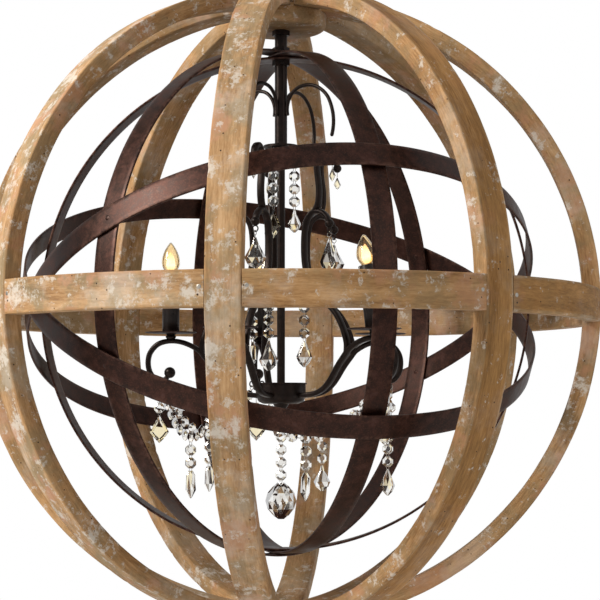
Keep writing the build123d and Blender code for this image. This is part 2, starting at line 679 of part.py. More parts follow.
def string(bead_count, last, top, facing):
    """Octagons on pins below a height, then a last crystal, all turned to face an azimuth."""
    solids = []
    level = top
    for _ in range(bead_count):
        solids.append(Pos(0, 0, level) * octagon())
        level -= OCTAGON_WIDTH + PIN_LENGTH
        solids.append(Pos(0, 0, level) * post(PIN_RADIUS, PIN_LENGTH))
    solids.append(Pos(0, 0, level) * last)
    return [Rot(0, 0, facing) * solid for solid in solids]


def pendant(place, swing, bead_count, last, lead=PIN_LENGTH):
    """A string that hangs from an eye and swings towards an azimuth."""
    top = -(RING_DROP + RING_RADIUS + lead)
    solids = [Rot(0, 0, swing - 90.0) * hanger(lead)]
    solids += string(bead_count, last, top, FACING_AZIMUTH)
    return [Pos(place) * solid for solid in solids]


def garland(index):
    """Octagons hung between two arms' eyes, with a short string at the middle."""
    start, end, along = garland_line(index)
    outward = along.cross(Vector(0, 0, 1))
    reach = Vector(0, 0, RING_DROP + RING_RADIUS + RING_WIRE)
    low = (start + end) * 0.5 - reach - Vector(0, 0, 2 * GARLAND_SAG)
    line = Edge.make_bezier(start - reach, low, end - reach)
    count = 2 * int(line.length / (OCTAGON_WIDTH + PIN_LENGTH) / 2) + 1
    pin = (line.length / count - OCTAGON_WIDTH) / 2
    ring_frame = Plane(origin=(0, 0, 0), x_dir=along, z_dir=Vector(0, 0, 1))
    ring = ring_frame * Pos(0, 0, -RING_DROP) * Rot(0, 90, 0) * Torus(RING_RADIUS, RING_WIRE)
    solids = [Pos(start) * ring, Pos(end) * ring]
    for bead in range(count):
        share = (bead + 0.5) / count
        frame = Plane(origin=line @ share, x_dir=(line % share).cross(outward), z_dir=line % share)
        solids.append(frame * Pos(0, 0, OCTAGON_WIDTH / 2) * octagon())
        for side in (-OCTAGON_WIDTH / 2 - pin, OCTAGON_WIDTH / 2):
            solids.append(frame * Pos(0, 0, side) * post(PIN_RADIUS, pin))
    bottom = (line @ 0.5) - Vector(0, 0, OCTAGON_WIDTH / 2 + PIN_LENGTH)
    middle = [post(PIN_RADIUS, PIN_LENGTH)] + string(2, drop(*GARLAND_DROPS[index]), 0.0, FACING_AZIMUTH)
    return solids + [Pos(bottom) * solid for solid in middle]


def small_drop():
    """The little kite on a wire under an upper scroll's ball."""
    end_x, end_z = UPPER_SCROLL_LINE[-1]
    top = end_z - SCROLL_BALL_RADIUS
    wire = Pos(end_x, 0, top - SMALL_WIRE_LENGTH) * post(PIN_RADIUS, SMALL_WIRE_LENGTH)
    return wire, Pos(end_x, 0, top - SMALL_WIRE_LENGTH) * drop(KITE, SMALL_KITE_LENGTH, SMALL_KITE_WIDTH)


# The crystals that hang, with their sizes in millimetres: outline, length, width.
CURL_DROP = (KITE, 39.0, 27.0)
CURL_LEAD = 14.0
SMALL_KITE_LENGTH = 18.0
SMALL_KITE_WIDTH = 11.0
SMALL_WIRE_LENGTH = 6.0
GARLAND_DROPS = (
    (SPEAR, 37.0, 14.0),
    (ALMOND, 36.0, 20.0),
    (PEAR, 37.0, 24.0),
    (SPEAR, 37.0, 14.0),
    (SPEAR, 37.0, 14.0),
)
SCROLL_DROPS = (
    (PEAR, 42.0, 29.0),
    (ALMOND, 50.0, 25.0),
    (PEAR, 42.0, 29.0),
    (ALMOND, 50.0, 25.0),
    (PEAR, 42.0, 29.0),
)
CROWN_STRING_AZIMUTHS = (-22.0, 75.0)
CROWN_DROPS = ((KITE, 41.0, 20.0), (PEAR, 32.0, 18.0))
INNER_STRING_ARMS = (0, 1, 4)
INNER_DROPS = ((PEAR, 41.0, 26.0), (ALMOND, 36.0, 22.0), (SPEAR, 36.0, 11.0))
INNER_LEAD = 16.0
INNER_BEAD_COUNT = 3
CENTRE_BALL_LENGTH = 50.0
CENTRE_BALL_WIDTH = 44.0
CENTRE_BEAD_COUNT = 4
CROWN_BEAD_COUNT = 4


def write_globe():
    ribs = wooden_ribs()
    for number, rib in enumerate(ribs, start=1):
        write(f"wood_rib_{number}", rib)
    write("equator_band", equator_band())
    write("top_hub", top_hub(ribs))


def write_hoops():
    frames = hoop_frames()
    crossings = hoop_crossings(frames) + [pole_crossing(frames)]
    names = [f"upright_hoop_{number + 1}" for number in range(len(UPRIGHT_AZIMUTHS))]
    names += [f"tilted_hoop_{number + 1}" for number in range(len(TILT_ANGLES))]
    for name, hoop in zip(names, iron_hoops(frames, crossings)):
        write(name, Pos(0, 0, HOOP_CENTRE_Z) * hoop)
    write("hoop_rivets", *[Pos(0, 0, HOOP_CENTRE_Z) * hoop_rivet(*crossing) for crossing in crossings])


def write_stem():
    write("hanging_eye", hanging_eye())
    write("stem_tube", Pos(0, 0, STEM_BOTTOM_Z) * tube(STEM_RADIUS, STEM_BORE, STEM_TOP_Z - STEM_BOTTOM_Z))
    write("stem_nuts", *stem_nuts())
    write("stem_rod", stem_rod())
    write("crown_plate", crown_plate())
    write("hub_cup", hub_cup())
    write("cup_lid", cup_lid())
    write("bottom_finial", bottom_finial())


def write_arms():
    arm = candle_arm()
    scrolls = {has_peg: lower_scroll(arm, has_peg) for has_peg in (False, True)}
    upper = upper_scroll(scrolls[False])
    for index in range(len(ARM_AZIMUTHS)):
        write(f"candle_arm_{index + 1}", hooked_arm(arm, index))
    lower = [scrolls[index in INNER_STRING_ARMS] for index in range(len(ARM_AZIMUTHS))]
    write("lower_scrolls", *[at_azimuth(scroll, azimuth) for scroll, azimuth in zip(lower, ARM_AZIMUTHS)])
    write("upper_scrolls", *[at_azimuth(upper, azimuth) for azimuth in ARM_AZIMUTHS])
    hook = round_wire(HOOK_LINE, HOOK_WIRE_RADIUS) - Pos(0, 0, STEM_BOTTOM_Z) * post(STEM_RADIUS, GLOBE_RADIUS)
    write("wire_hooks", *[at_azimuth(hook, azimuth) for azimuth in HOOK_AZIMUTHS])


def write_candles():
    indices = range(len(ARM_AZIMUTHS))
    pan, socket = drip_pan(), lamp_socket()
    sleeve = tube(SLEEVE_RADIUS, SLEEVE_RADIUS - SLEEVE_WALL, SLEEVE_HEIGHT)
    arm = flat_bar(ARM_LINE, BAR_THICKNESS, BAR_WIDTH)
    write("candle_necks", *[candle_neck(arm, index) for index in indices])
    write("drip_pans", *[at_azimuth(pan, azimuth) for azimuth in ARM_AZIMUTHS])
    write("candle_sleeves", *[candle_place(index) * sleeve for index in indices])
    write("lamp_sockets", *[candle_place(index) * socket for index in indices])
    write("candle_bulbs", *[candle_place(index) * piece for index in indices for piece in bulb()])


def write_crystal():
    for index, azimuth in enumerate(ARM_AZIMUTHS):
        write(f"garland_{index + 1}", *garland(index))
        hook = bearing(azimuth, CURL_HOOK_RADIUS, CURL_HOOK_Z)
        write(f"curl_drop_{index + 1}", *pendant(hook, azimuth, 1, drop(*CURL_DROP), CURL_LEAD))
        hook = bearing(azimuth, LOWER_SCROLL_LINE[-1][0], SCROLL_HOOK_Z)
        write(f"scroll_drop_{index + 1}", *pendant(hook, azimuth, 0, drop(*SCROLL_DROPS[index])))
    for number, azimuth in enumerate(CROWN_STRING_AZIMUTHS, start=1):
        hook = bearing(azimuth, CROWN_STRING_RADIUS, CROWN_HOOK_Z)
        last = drop(*CROWN_DROPS[number - 1])
        write(f"crown_string_{number}", *pendant(hook, azimuth + 90.0, CROWN_BEAD_COUNT, last))
    for number, index in enumerate(INNER_STRING_ARMS, start=1):
        hook = bearing(ARM_AZIMUTHS[index], INNER_STRING_RADIUS, INNER_HOOK_Z)
        last = drop(*INNER_DROPS[number - 1])
        write(f"inner_string_{number}", *pendant(hook, ARM_AZIMUTHS[index], INNER_BEAD_COUNT, last, INNER_LEAD))
    ball = drop(ROUND, CENTRE_BALL_LENGTH, CENTRE_BALL_WIDTH, depth_ratio=1.0, sides=BALL_SIDES)
    write("centre_drop", *pendant(Vector(0, 0, CENTRE_HOOK_Z), 90.0, CENTRE_BEAD_COUNT, ball))
    write("small_drops", *[at_azimuth(piece, azimuth) for azimuth in ARM_AZIMUTHS for piece in small_drop()])


def main():
    os.makedirs("parts", exist_ok=True)
    write_globe()
    write_hoops()
    write_stem()
    write_arms()
    write_candles()
    write_crystal()


if __name__ == "__main__":
    main()
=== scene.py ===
# %% [markdown]
# # An orb chandelier
#
# A globe of weathered wooden straps holds a smaller globe of flat iron hoops. Inside
# them hangs a small black iron chandelier: five curled arms with candles, and strings of cut
# crystal. This file dresses the CAD model. The CAD parts are the fixed frame, and each cell
# makes one kind of piece over them, in metres, in the same place.

# %% The frame
import math
import random

import bpy
from mathutils import Matrix, Vector, noise


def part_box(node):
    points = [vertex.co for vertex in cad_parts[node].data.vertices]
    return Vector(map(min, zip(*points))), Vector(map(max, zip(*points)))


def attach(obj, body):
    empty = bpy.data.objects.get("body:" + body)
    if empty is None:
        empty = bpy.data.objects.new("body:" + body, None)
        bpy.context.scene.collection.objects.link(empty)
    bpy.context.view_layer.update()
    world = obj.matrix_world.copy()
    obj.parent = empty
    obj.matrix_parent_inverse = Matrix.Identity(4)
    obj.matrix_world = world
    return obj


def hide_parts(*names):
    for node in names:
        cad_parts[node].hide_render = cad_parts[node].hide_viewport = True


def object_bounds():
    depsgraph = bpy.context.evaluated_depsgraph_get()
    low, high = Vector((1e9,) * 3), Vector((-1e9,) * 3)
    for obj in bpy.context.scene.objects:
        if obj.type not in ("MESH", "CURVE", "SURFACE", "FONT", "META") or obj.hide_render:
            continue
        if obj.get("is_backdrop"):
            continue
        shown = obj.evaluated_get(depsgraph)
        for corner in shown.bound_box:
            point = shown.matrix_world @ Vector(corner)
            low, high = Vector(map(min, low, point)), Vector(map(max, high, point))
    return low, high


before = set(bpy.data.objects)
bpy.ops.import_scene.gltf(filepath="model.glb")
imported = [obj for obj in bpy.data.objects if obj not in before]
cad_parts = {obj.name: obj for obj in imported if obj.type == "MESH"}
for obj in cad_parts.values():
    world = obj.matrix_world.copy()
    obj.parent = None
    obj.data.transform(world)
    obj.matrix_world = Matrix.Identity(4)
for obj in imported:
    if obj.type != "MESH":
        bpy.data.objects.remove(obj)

CAD_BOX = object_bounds()
MM = 0.001
band_low, band_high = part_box("equator_band")
GLOBE_CENTRE_Z = round((band_low[2] + band_high[2]) / 2, 4)
FIXED = "fixture"
print("the globe's middle is at", GLOBE_CENTRE_Z, "m, read from the band round its equator")

# %% [markdown]
# ## Helpers for places and meshes
#
# Heights on the lamp are easiest to think of from the middle of the globe, and directions as
# degrees round from the front. One small function turns both into a point of the frame.

# %% Places and meshes
def bearing(azimuth, radius, height):
    """The point at an azimuth in degrees, a distance from the stem and a height, in mm."""
    turn = math.radians(azimuth)
    place = Vector((radius * math.sin(turn), -radius * math.cos(turn), height)) * MM
    return place + Vector((0.0, 0.0, GLOBE_CENTRE_Z))


def at_azimuth(azimuth):
    """The turn that points a piece made towards +X along an azimuth, about the stem."""
    middle = Matrix.Translation((0.0, 0.0, GLOBE_CENTRE_Z))
    return middle @ Matrix.Rotation(math.radians(azimuth - 90.0), 4, "Z")


class Sheet:
    """Points and faces collected for one mesh, with values per point or per face."""

    def __init__(self):
        self.points, self.faces = [], []
        self.point_values, self.face_values = {}, {}

    def add(self, points, faces, place=None, **values):
        first = len(self.points)
        self.points += [place @ Vector(p) if place else Vector(p) for p in points]
        self.faces += [tuple(first + corner for corner in face) for face in faces]
        for name, items in values.items():
            store = self.face_values if len(items) == len(faces) != len(points) else self.point_values
            store.setdefault(name, []).extend(items)
        return self


def mesh_piece(name, sheet, material, body=FIXED, replaces=(), smooth=None):
    """Make the collected mesh a piece that rides on a body and stands for CAD nodes."""
    mesh = bpy.data.meshes.new(name)
    mesh.from_pydata([tuple(p) for p in sheet.points], [], sheet.faces)
    for label, values in sheet.point_values.items():
        fill_attribute(mesh, label, "POINT", values)
    for label, values in sheet.face_values.items():
        fill_attribute(mesh, label, "FACE", values)
    if smooth is None:
        mesh.shade_flat()
    else:
        mesh.shade_smooth()
        mesh.set_sharp_from_angle(angle=math.radians(smooth))
    mesh.materials.append(material)
    piece = bpy.data.objects.new(name, mesh)
    bpy.context.scene.collection.objects.link(piece)
    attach(piece, body)
    if replaces:
        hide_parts(*replaces)
    return piece


def fill_attribute(mesh, label, domain, values):
    """Store a number, a vector or a colour for every point or face of a mesh."""
    size = len(values[0]) if hasattr(values[0], "__len__") else 1
    kind = {1: "FLOAT", 3: "FLOAT_VECTOR", 4: "FLOAT_COLOR"}[size]
    field = {1: "value", 3: "vector", 4: "color"}[size]
    attribute = mesh.attributes.new(label, kind, domain)
    flat = list(values) if size == 1 else [number for value in values for number in value]
    attribute.data.foreach_set(field, flat)


print("collections of points become pieces on the body", FIXED, "unless they say otherwise")

# %% [markdown]
# ## Rings of points, and the faces between them
#
# Almost every piece here is swept or turned: rows of points, each row the same section, and
# quads from each row to the next. These helpers make a circle's steps, the quads and the caps at
# the ends, so the pieces below only say where their points are.

# %% Circles, quads and caps
def circle(count, phase=0.0):
    """The cosine and sine of each step round a circle."""
    turns = [2 * math.pi * (step + phase) / count for step in range(count)]
    return [(math.cos(turn), math.sin(turn)) for turn in turns]


def grid(rows, columns, loop=False, close=True, flip=False):
    """Quads between rows of points: loop joins the last row to the first, close each row's ends."""
    faces = []
    for row in range(rows if loop else rows - 1):
        here, there = row * columns, (row + 1) % rows * columns
        for column in range(columns if close else columns - 1):
            beside = (column + 1) % columns
            quad = (here + column, here + beside, there + beside, there + column)
            faces.append(quad[:1] + quad[:0:-1] if flip else quad)
    return faces


def caps(rows, columns):
    """One face over the first row and one over the last."""
    last = (rows - 1) * columns
    return [tuple(range(columns))[::-1], tuple(range(last, last + columns))]


print("a tube of 3 rings of 8 points has", len(grid(3, 8) + caps(3, 8)), "faces")

# %% [markdown]
# ## Helpers for materials
#
# A node material is a small sum. These helpers keep each sum readable: one adds a node and
# wires its inputs, and the others are the few sums that every finish here uses.

# %% Shader helpers
def node(tree, kind, inputs=None, **settings):
    """Add a shader node; an input takes a value or another node's output socket."""
    made = tree.nodes.new("ShaderNode" + kind)
    for key, value in settings.items():
        setattr(made, key, value)
    for key, value in (inputs or {}).items():
        if isinstance(value, bpy.types.NodeSocket):
            tree.links.new(value, made.inputs[key])
        else:
            made.inputs[key].default_value = value
    return made


def calc(tree, operation, first, second=0.0):
    return node(tree, "Math", {0: first, 1: second}, operation=operation).outputs[0]


def times(tree, first, second):
    return calc(tree, "MULTIPLY", first, second)


def plus(tree, first, second):
    return calc(tree, "ADD", first, second)


def minus(tree, first, second):
    return calc(tree, "SUBTRACT", first, second)


def spread(tree, value, low, high, start=0.0, end=1.0):
    """Stretch a value that runs from start to end, so that it runs from low to high."""
    limits = {"From Min": start, "From Max": end, "To Min": low, "To Max": high}
    return node(tree, "MapRange", {"Value": value, **limits}).outputs["Result"]


def blend_colour(tree, mask, below, above):
    """Two colours, mixed by a mask."""
    mixed = node(tree, "Mix", {0: mask, 6: below, 7: above}, data_type="RGBA")
    return mixed.outputs[2]


def colour_ramp(tree, value, stops):
    """Colours along a value: (place, (r, g, b)) pairs."""
    made = node(tree, "ValToRGB", {0: value})
    elements = made.color_ramp.elements
    while len(elements) < len(stops):
        elements.new(0.5)
    for element, (place, colour) in zip(elements, stops):
        element.position = place
        element.color = (*colour, 1.0)
    return made.outputs[0]


def read(tree, label, kind="GEOMETRY"):
    return node(tree, "Attribute", attribute_name=label, attribute_type=kind)


def place_on_object(tree):
    return node(tree, "TexCoord").outputs["Object"]


def new_material(name, **sockets):
    """A material with a Principled shader, its constant values set on the shader's sockets."""
    material = bpy.data.materials.new(name)
    material.use_nodes = True
    tree = material.node_tree
    shader = tree.nodes["Principled BSDF"]
    for label, value in sockets.items():
        shader.inputs[label.replace("_", " ")].default_value = value
    return material, tree, shader


def connect(tree, shader, **sockets):
    for label, socket in sockets.items():
        tree.links.new(socket, shader.inputs[label.replace("_", " ")])


def bumped(tree, height, strength, distance):
    bump = node(tree, "Bump", {"Height": height, "Strength": strength, "Distance": distance})
    return bump.outputs["Normal"]


print("materials at the start:", len(bpy.data.materials))

# %% [markdown]
# ## Shared effects
#
# Nothing on this lamp is one flat colour. The wood has ragged patches of old whitewash and
# worm holes, and the iron has freckles of rust and dust. A patch mask and a speck mask, each
# built once as a node group, serve every material at its own scale.

# %% Patches and specks
def new_group(name, inputs, outputs):
    group = bpy.data.node_groups.new(name, "ShaderNodeTree")
    for label, kind, default in inputs:
        socket = group.interface.new_socket(label, in_out="INPUT", socket_type="NodeSocket" + kind)
        if default is not None:
            socket.default_value = default
    for label, kind in outputs:
        group.interface.new_socket(label, in_out="OUTPUT", socket_type="NodeSocket" + kind)
    return group, group.nodes.new("NodeGroupInput"), group.nodes.new("NodeGroupOutput")


def patches_group():
    """A mask with ragged islands: noise, cut at a level with a soft or hard rim."""
    group, given, result = new_group(
        "Ragged patches",
        [("Place", "Vector", None), ("Scale", "Float", 10.0), ("Level", "Float", 0.55),
         ("Softness", "Float", 0.03), ("Raggedness", "Float", 0.6)],
        [("Mask", "Float"), ("Noise", "Float")],
    )
    cloud = node(group, "TexNoise", {
        "Vector": given.outputs["Place"], "Scale": given.outputs["Scale"],
        "Roughness": given.outputs["Raggedness"], "Detail": 7.0,
    })
    rim = {
        "From Min": minus(group, given.outputs["Level"], given.outputs["Softness"]),
        "From Max": plus(group, given.outputs["Level"], given.outputs["Softness"]),
    }
    mask = node(group, "MapRange", {"Value": cloud.outputs["Fac"], **rim}, interpolation_type="SMOOTHSTEP")
    group.links.new(mask.outputs["Result"], result.inputs["Mask"])
    group.links.new(cloud.outputs["Fac"], result.inputs["Noise"])
    return group


def specks_group():
    """A mask of small round dots, thinned out so that only some cells have one."""
    group, given, result = new_group(
        "Scattered specks",
        [("Place", "Vector", None), ("Scale", "Float", 100.0), ("Size", "Float", 0.2),
         ("Share", "Float", 0.3)],
        [("Mask", "Float")],
    )
    cells = node(group, "TexVoronoi", {"Vector": given.outputs["Place"], "Scale": given.outputs["Scale"]})
    size = given.outputs["Size"]
    dot = spread(group, cells.outputs["Distance"], 1.0, 0.0, times(group, size, 0.6), size)
    pick = node(group, "SeparateColor", {"Color": cells.outputs["Color"]}).outputs["Red"]
    kept = calc(group, "LESS_THAN", pick, given.outputs["Share"])
    group.links.new(times(group, dot, kept), result.inputs["Mask"])
    return group


PATCHES = patches_group()
SPECKS = specks_group()


def use_group(tree, group, **values):
    """Put a node group into a material and give it its inputs."""
    made = tree.nodes.new("ShaderNodeGroup")
    made.node_tree = group
    for label, value in values.items():
        if isinstance(value, bpy.types.NodeSocket):
            tree.links.new(value, made.inputs[label])
        else:
            made.inputs[label].default_value = value
    return made.outputs


def patches(tree, place, scale, level, softness=0.03, raggedness=0.6):
    """A mask of ragged islands."""
    return use_group(tree, PATCHES, Place=place, Scale=scale, Level=level, Softness=softness,
                     Raggedness=raggedness)["Mask"]


def clouds(tree, place, scale, raggedness=0.6):
    """The same noise, uncut: a soft value about a half."""
    return use_group(tree, PATCHES, Place=place, Scale=scale, Raggedness=raggedness)["Noise"]


def specks(tree, place, scale, size, share):
    return use_group(tree, SPECKS, Place=place, Scale=scale, Size=size, Share=share)["Mask"]


print("effect groups:", PATCHES.name, "and", SPECKS.name)

# %% [markdown]
# ## Weathered wood
#
# The straps are old planks: tan and peach faces with grey zones and pinkish stains, ragged
# patches of whitewash, a few worm holes painted dark as the shade in them, and golden brown
# edges where the wash has worn off.
# The grain runs along each strap, so the mesh carries its own coordinates: metres along the
# strap, across it and into it. Each strap also has a tone: some are golden and some are pale, and
# the straps and boards on the right, away from the key lamp, are golden and darker as painted
# shade. The material is a stack: figure of the wood, stains, gold with the painted shade, wash,
# holes.

# %% Wood materials
WOOD_STOPS = (
    (0.36, (0.205, 0.102, 0.038)),
    (0.46, (0.380, 0.218, 0.098)),
    (0.55, (0.530, 0.330, 0.168)),
    (0.68, (0.690, 0.480, 0.285)),
)
PINK_STAIN = (0.52, 0.27, 0.165, 1.0)
GREY_WOOD = (0.235, 0.200, 0.120, 1.0)
GOLD_STOPS = ((0.40, (0.205, 0.090, 0.018)), (0.60, (0.440, 0.215, 0.055)))
WHITEWASH = (0.70, 0.66, 0.595, 1.0)
# the dark inside a worm hole: painted shade
SHADED_HOLE = (0.035, 0.018, 0.009, 1.0)


def wood_figure(tree, place):
    """The fine fibre, and the fibre mixed with broad bands; both run along the grain."""
    along = node(tree, "Mapping", {"Vector": place, "Scale": (0.14, 1.0, 1.0)}).outputs[0]
    fibre, broad = clouds(tree, along, 420.0, 0.7), clouds(tree, along, 38.0, 0.65)
    return fibre, plus(tree, times(tree, fibre, 0.45), times(tree, broad, 0.55))


def stained_wood(tree, place, figure, wear_and_shade):
    """Tan planks with grey zones and pink stains, golden brown where the wash has worn off, and golden
    brown as painted shade where the tone is high.
    """
    colour = colour_ramp(tree, figure, WOOD_STOPS)
    grey = times(tree, patches(tree, place, 19.0, 0.51, 0.08, 0.66), 0.6)
    colour = blend_colour(tree, grey, colour, GREY_WOOD)
    pink = times(tree, patches(tree, place, 17.0, 0.585, 0.05), 0.7)
    colour = blend_colour(tree, pink, colour, PINK_STAIN)
    # golden brown where worn, and where the tone paints shade
    return blend_colour(tree, times(tree, wear_and_shade, 0.85), colour, colour_ramp(tree, figure, GOLD_STOPS))


def whitewash(tree, place, wear_and_shade, level):
    """Where the old wash still holds: ragged patches, flecks between them and a thin haze, thinner on worn
    wood and where shade is painted.
    """
    level = plus(tree, level, times(tree, wear_and_shade, 0.075))
    wash = times(tree, patches(tree, place, 24.0, plus(tree, level, 0.012), 0.05, 0.76), 0.72)
    flecks = times(tree, patches(tree, place, 62.0, plus(tree, level, 0.02), 0.035, 0.72), 0.6)
    haze = times(tree, patches(tree, place, 11.0, 0.56, 0.08, 0.7), 0.30)
    haze = times(tree, haze, minus(tree, 1.0, times(tree, wear_and_shade, 0.8)))
    return calc(tree, "MAXIMUM", calc(tree, "MAXIMUM", wash, flecks), haze)


def weathered_wood(name, place, side, tone, wash_level):
    """Old planking; place runs along the grain, side is 1 on the edges, tone is golden at 1 and carries
    painted shade.
    """
    material, tree, shader = new_material(name, Specular_IOR_Level=0.28)
    place, side, tone = place(tree), side(tree), tone(tree)
    fibre, figure = wood_figure(tree, place)
    # worn edges, plus the tone on the faces, which is partly painted shade
    wear_and_shade = plus(tree, times(tree, minus(tree, 1.0, side), tone), times(tree, side, 0.40))
    wash = whitewash(tree, place, wear_and_shade, wash_level)
    # worm holes: dark dots of painted shade, and a dip in the bump
    shaded_holes = specks(tree, place, 130.0, 0.15, 0.16)
    colour = blend_colour(tree, wash, stained_wood(tree, place, figure, wear_and_shade), WHITEWASH)
    colour = blend_colour(tree, shaded_holes, colour, SHADED_HOLE)
    height = plus(tree, times(tree, fibre, 0.5), times(tree, wash, 0.5))
    height = minus(tree, height, times(tree, shaded_holes, 1.5))
    connect(tree, shader, Base_Color=colour, Roughness=spread(tree, fibre, 0.62, 0.86),
            Normal=bumped(tree, height, 0.55, 0.0009))
    return material


def attribute_fac(label):
    return lambda tree: read(tree, label).outputs["Fac"]


# the tone attribute carries painted shade on the right-hand straps as well as each strap's own tone
strap_wood = weathered_wood("Weathered strap wood",
                            lambda tree: read(tree, "grain").outputs["Vector"],
                            attribute_fac("side"), attribute_fac("tone"), 0.56)
hub_wood = weathered_wood("Turned hub wood", place_on_object,
                          lambda tree: 0.25, lambda tree: 0.25, 0.57)
print("wood finishes:", strap_wood.name, "and", hub_wood.name)

# %% [markdown]
# ## Iron and wire
#
# The hoops are dark rust brown with a dull metal sheen, and their edges are scuffed bright. The
# chandelier's own iron is nearly black and waxed, and the same recipe in other colours
# gives the sleeves, the pans, the sockets and the screws. The links are bright wire.

# %% Metal materials
RUST_STOPS = (
    (0.34, (0.014, 0.0042, 0.0022)), (0.47, (0.028, 0.0088, 0.0050)),
    (0.57, (0.048, 0.0160, 0.0100)), (0.70, (0.074, 0.0320, 0.0260)),
)
RUST_FRECKLE, RUST_SCUFF = (0.095, 0.036, 0.020, 1.0), (0.11, 0.055, 0.038, 1.0)
IRON_DUST = (0.060, 0.034, 0.024, 1.0)
WIRE_STOPS = ((0.35, (0.33, 0.30, 0.27)), (0.65, (0.72, 0.69, 0.64)))


def rusted_iron():
    material, tree, shader = new_material("Rusted hoop iron", Metallic=0.6, Specular_IOR_Level=0.45)
    place = place_on_object(tree)
    cloud = clouds(tree, place, 60.0, 0.75)
    freckles = times(tree, patches(tree, place, 520.0, 0.58, 0.05), 0.4)
    colour = blend_colour(tree, freckles, colour_ramp(tree, cloud, RUST_STOPS), RUST_FRECKLE)
    edge = read(tree, "edge").outputs["Fac"]
    scuffs = times(tree, times(tree, edge, patches(tree, place, 120.0, 0.52, 0.06)), 0.6)
    colour = blend_colour(tree, scuffs, colour, RUST_SCUFF)
    connect(tree, shader, Base_Color=colour, Roughness=spread(tree, cloud, 0.30, 0.50, 0.3, 0.7),
            Normal=bumped(tree, cloud, 0.3, 0.0003))
    return material


def waxed_iron(name, base, light, rough, metallic=0.6):
    """A dark metal, lighter in clouds, dusty in specks; rough is its (lowest, highest) roughness."""
    material, tree, shader = new_material(name, Metallic=metallic, Specular_IOR_Level=0.5)
    place = place_on_object(tree)
    cloud = clouds(tree, place, 150.0, 0.7)
    dust = times(tree, patches(tree, place, 500.0, 0.63, 0.03), 0.35)
    colour = blend_colour(tree, dust, colour_ramp(tree, cloud, ((0.35, base), (0.68, light))), IRON_DUST)
    connect(tree, shader, Base_Color=colour, Roughness=spread(tree, cloud, *rough, 0.3, 0.7),
            Normal=bumped(tree, cloud, 0.35, 0.0004))
    return material


def bright_wire():
    material, tree, shader = new_material("Bright link wire", Metallic=1.0)
    cloud = clouds(tree, place_on_object(tree), 900.0)
    connect(tree, shader, Base_Color=colour_ramp(tree, cloud, WIRE_STOPS),
            Roughness=spread(tree, cloud, 0.12, 0.34))
    return material


hoop_iron = rusted_iron()
black_iron = waxed_iron("Waxed black iron", (0.008, 0.0042, 0.003), (0.022, 0.011, 0.008), (0.26, 0.46))
sleeve_black = waxed_iron("Black sleeve enamel", (0.009, 0.006, 0.005), (0.020, 0.013, 0.011),
                          (0.26, 0.40), 0.2)
pan_iron = waxed_iron("Thin pan iron", (0.014, 0.005, 0.004), (0.050, 0.016, 0.012), (0.38, 0.55))
socket_shell = waxed_iron("Socket shell", (0.25, 0.17, 0.08), (0.42, 0.30, 0.15), (0.28, 0.45), 0.9)
link_wire = bright_wire()
print("metal finishes: 6")

# %% [markdown]
# ## Glass
#
# Crystal is clear glass. What the eye reads as facets are its flat faces, some bright, some
# grey or dark and some amber, so each face carries its own tint as a colour on the mesh; the grey
# and dark tints are painted reflections. A candle bulb needs two finishes: a clear shell, and a lit
# heart that a camera shows almost white.

# %% Glass materials
BULB_GLASS_STOPS = ((0.3, (0.93, 0.76, 0.50)), (0.7, (1.0, 0.88, 0.66)))
GLOW_STOPS = ((0.0, (1.0, 0.78, 0.44)), (0.3, (1.0, 0.95, 0.82)), (0.6, (1.0, 0.84, 0.62)),
              (1.0, (0.74, 0.44, 0.24)))


def cut_crystal():
    """Clear glass with a tint for each facet, partly painted reflection, and a little grime in places."""
    material, tree, shader = new_material(
        "Cut crystal", Transmission_Weight=1.0, IOR=1.43, Coat_Weight=0.3, Coat_Roughness=0.02)
    grime = clouds(tree, place_on_object(tree), 300.0)
    # the per-face tints, partly painted reflections
    connect(tree, shader, Base_Color=read(tree, "facet").outputs["Color"],
            Roughness=spread(tree, grime, 0.0, 0.06))
    return material


def lamp_glass():
    material, tree, shader = new_material("Clear bulb glass", Transmission_Weight=1.0, IOR=1.45)
    haze = clouds(tree, place_on_object(tree), 120.0)
    connect(tree, shader, Base_Color=colour_ramp(tree, haze, BULB_GLASS_STOPS),
            Roughness=spread(tree, haze, 0.0, 0.05))
    return material


def warm_glow():
    """The lit heart of a bulb: pale near its foot, amber at its tip."""
    material, tree, shader = new_material("Warm glow", Roughness=0.6, Emission_Strength=1.5)
    colour = colour_ramp(tree, read(tree, "glow").outputs["Fac"], GLOW_STOPS)
    connect(tree, shader, Base_Color=colour, Emission_Color=colour)
    return material


crystal = cut_crystal()
bulb_glass = lamp_glass()
bulb_glow = warm_glow()
print("glass finishes: 3")

# %% [markdown]
# ## The wooden straps
#
# Eight straps run from pole to pole, and the equator's eight boards are butted between them.
# All are the same bar, sawn by hand: nearly straight edges, corners that have rounded
# unevenly, and faces that wander by a fraction of a millimetre. One function sweeps
# that section. Where it goes is given to it as another function, so ribs and boards
# share everything else.

# %% A hand-sawn bar
STRAP_OUTER, STRAP_INNER = 431.6 * MM, 408.4 * MM
STRAP_HALF = 21.5 * MM
CORNER = 1.9 * MM
SIDE_LEVELS = (0.62, 0.35)
SWAY, RIPPLE, DIP, NICK, NICK_FROM = 0.4 * MM, 0.2 * MM, 0.45 * MM, 2.4 * MM, 0.45


def strap_section():
    """Points round the section: (across, depth, edge), where edge is 1 on corners and sides."""
    half, depth, flat = STRAP_HALF, STRAP_OUTER - STRAP_INNER, STRAP_HALF - 2.2 * CORNER

    def corner(angle, level):
        turn = math.radians(angle)
        return half - CORNER + CORNER * math.cos(turn), level + CORNER * math.sin(turn), 1.0

    outer = [(share * flat, depth, 0.0) for share in (-1.0, -0.5, 0.0, 0.5, 1.0)]
    side = [corner(angle, depth - CORNER) for angle in (90, 60, 30, 0)]
    side += [(half, depth * level, 1.0) for level in SIDE_LEVELS]
    side += [corner(angle, CORNER) for angle in (0, -45, -90)] + [(0.45 * flat, 0.0, 0.6)]
    return outer + side + [(-across, deep, edge) for across, deep, edge in side[::-1]]


SECTION = strap_section()


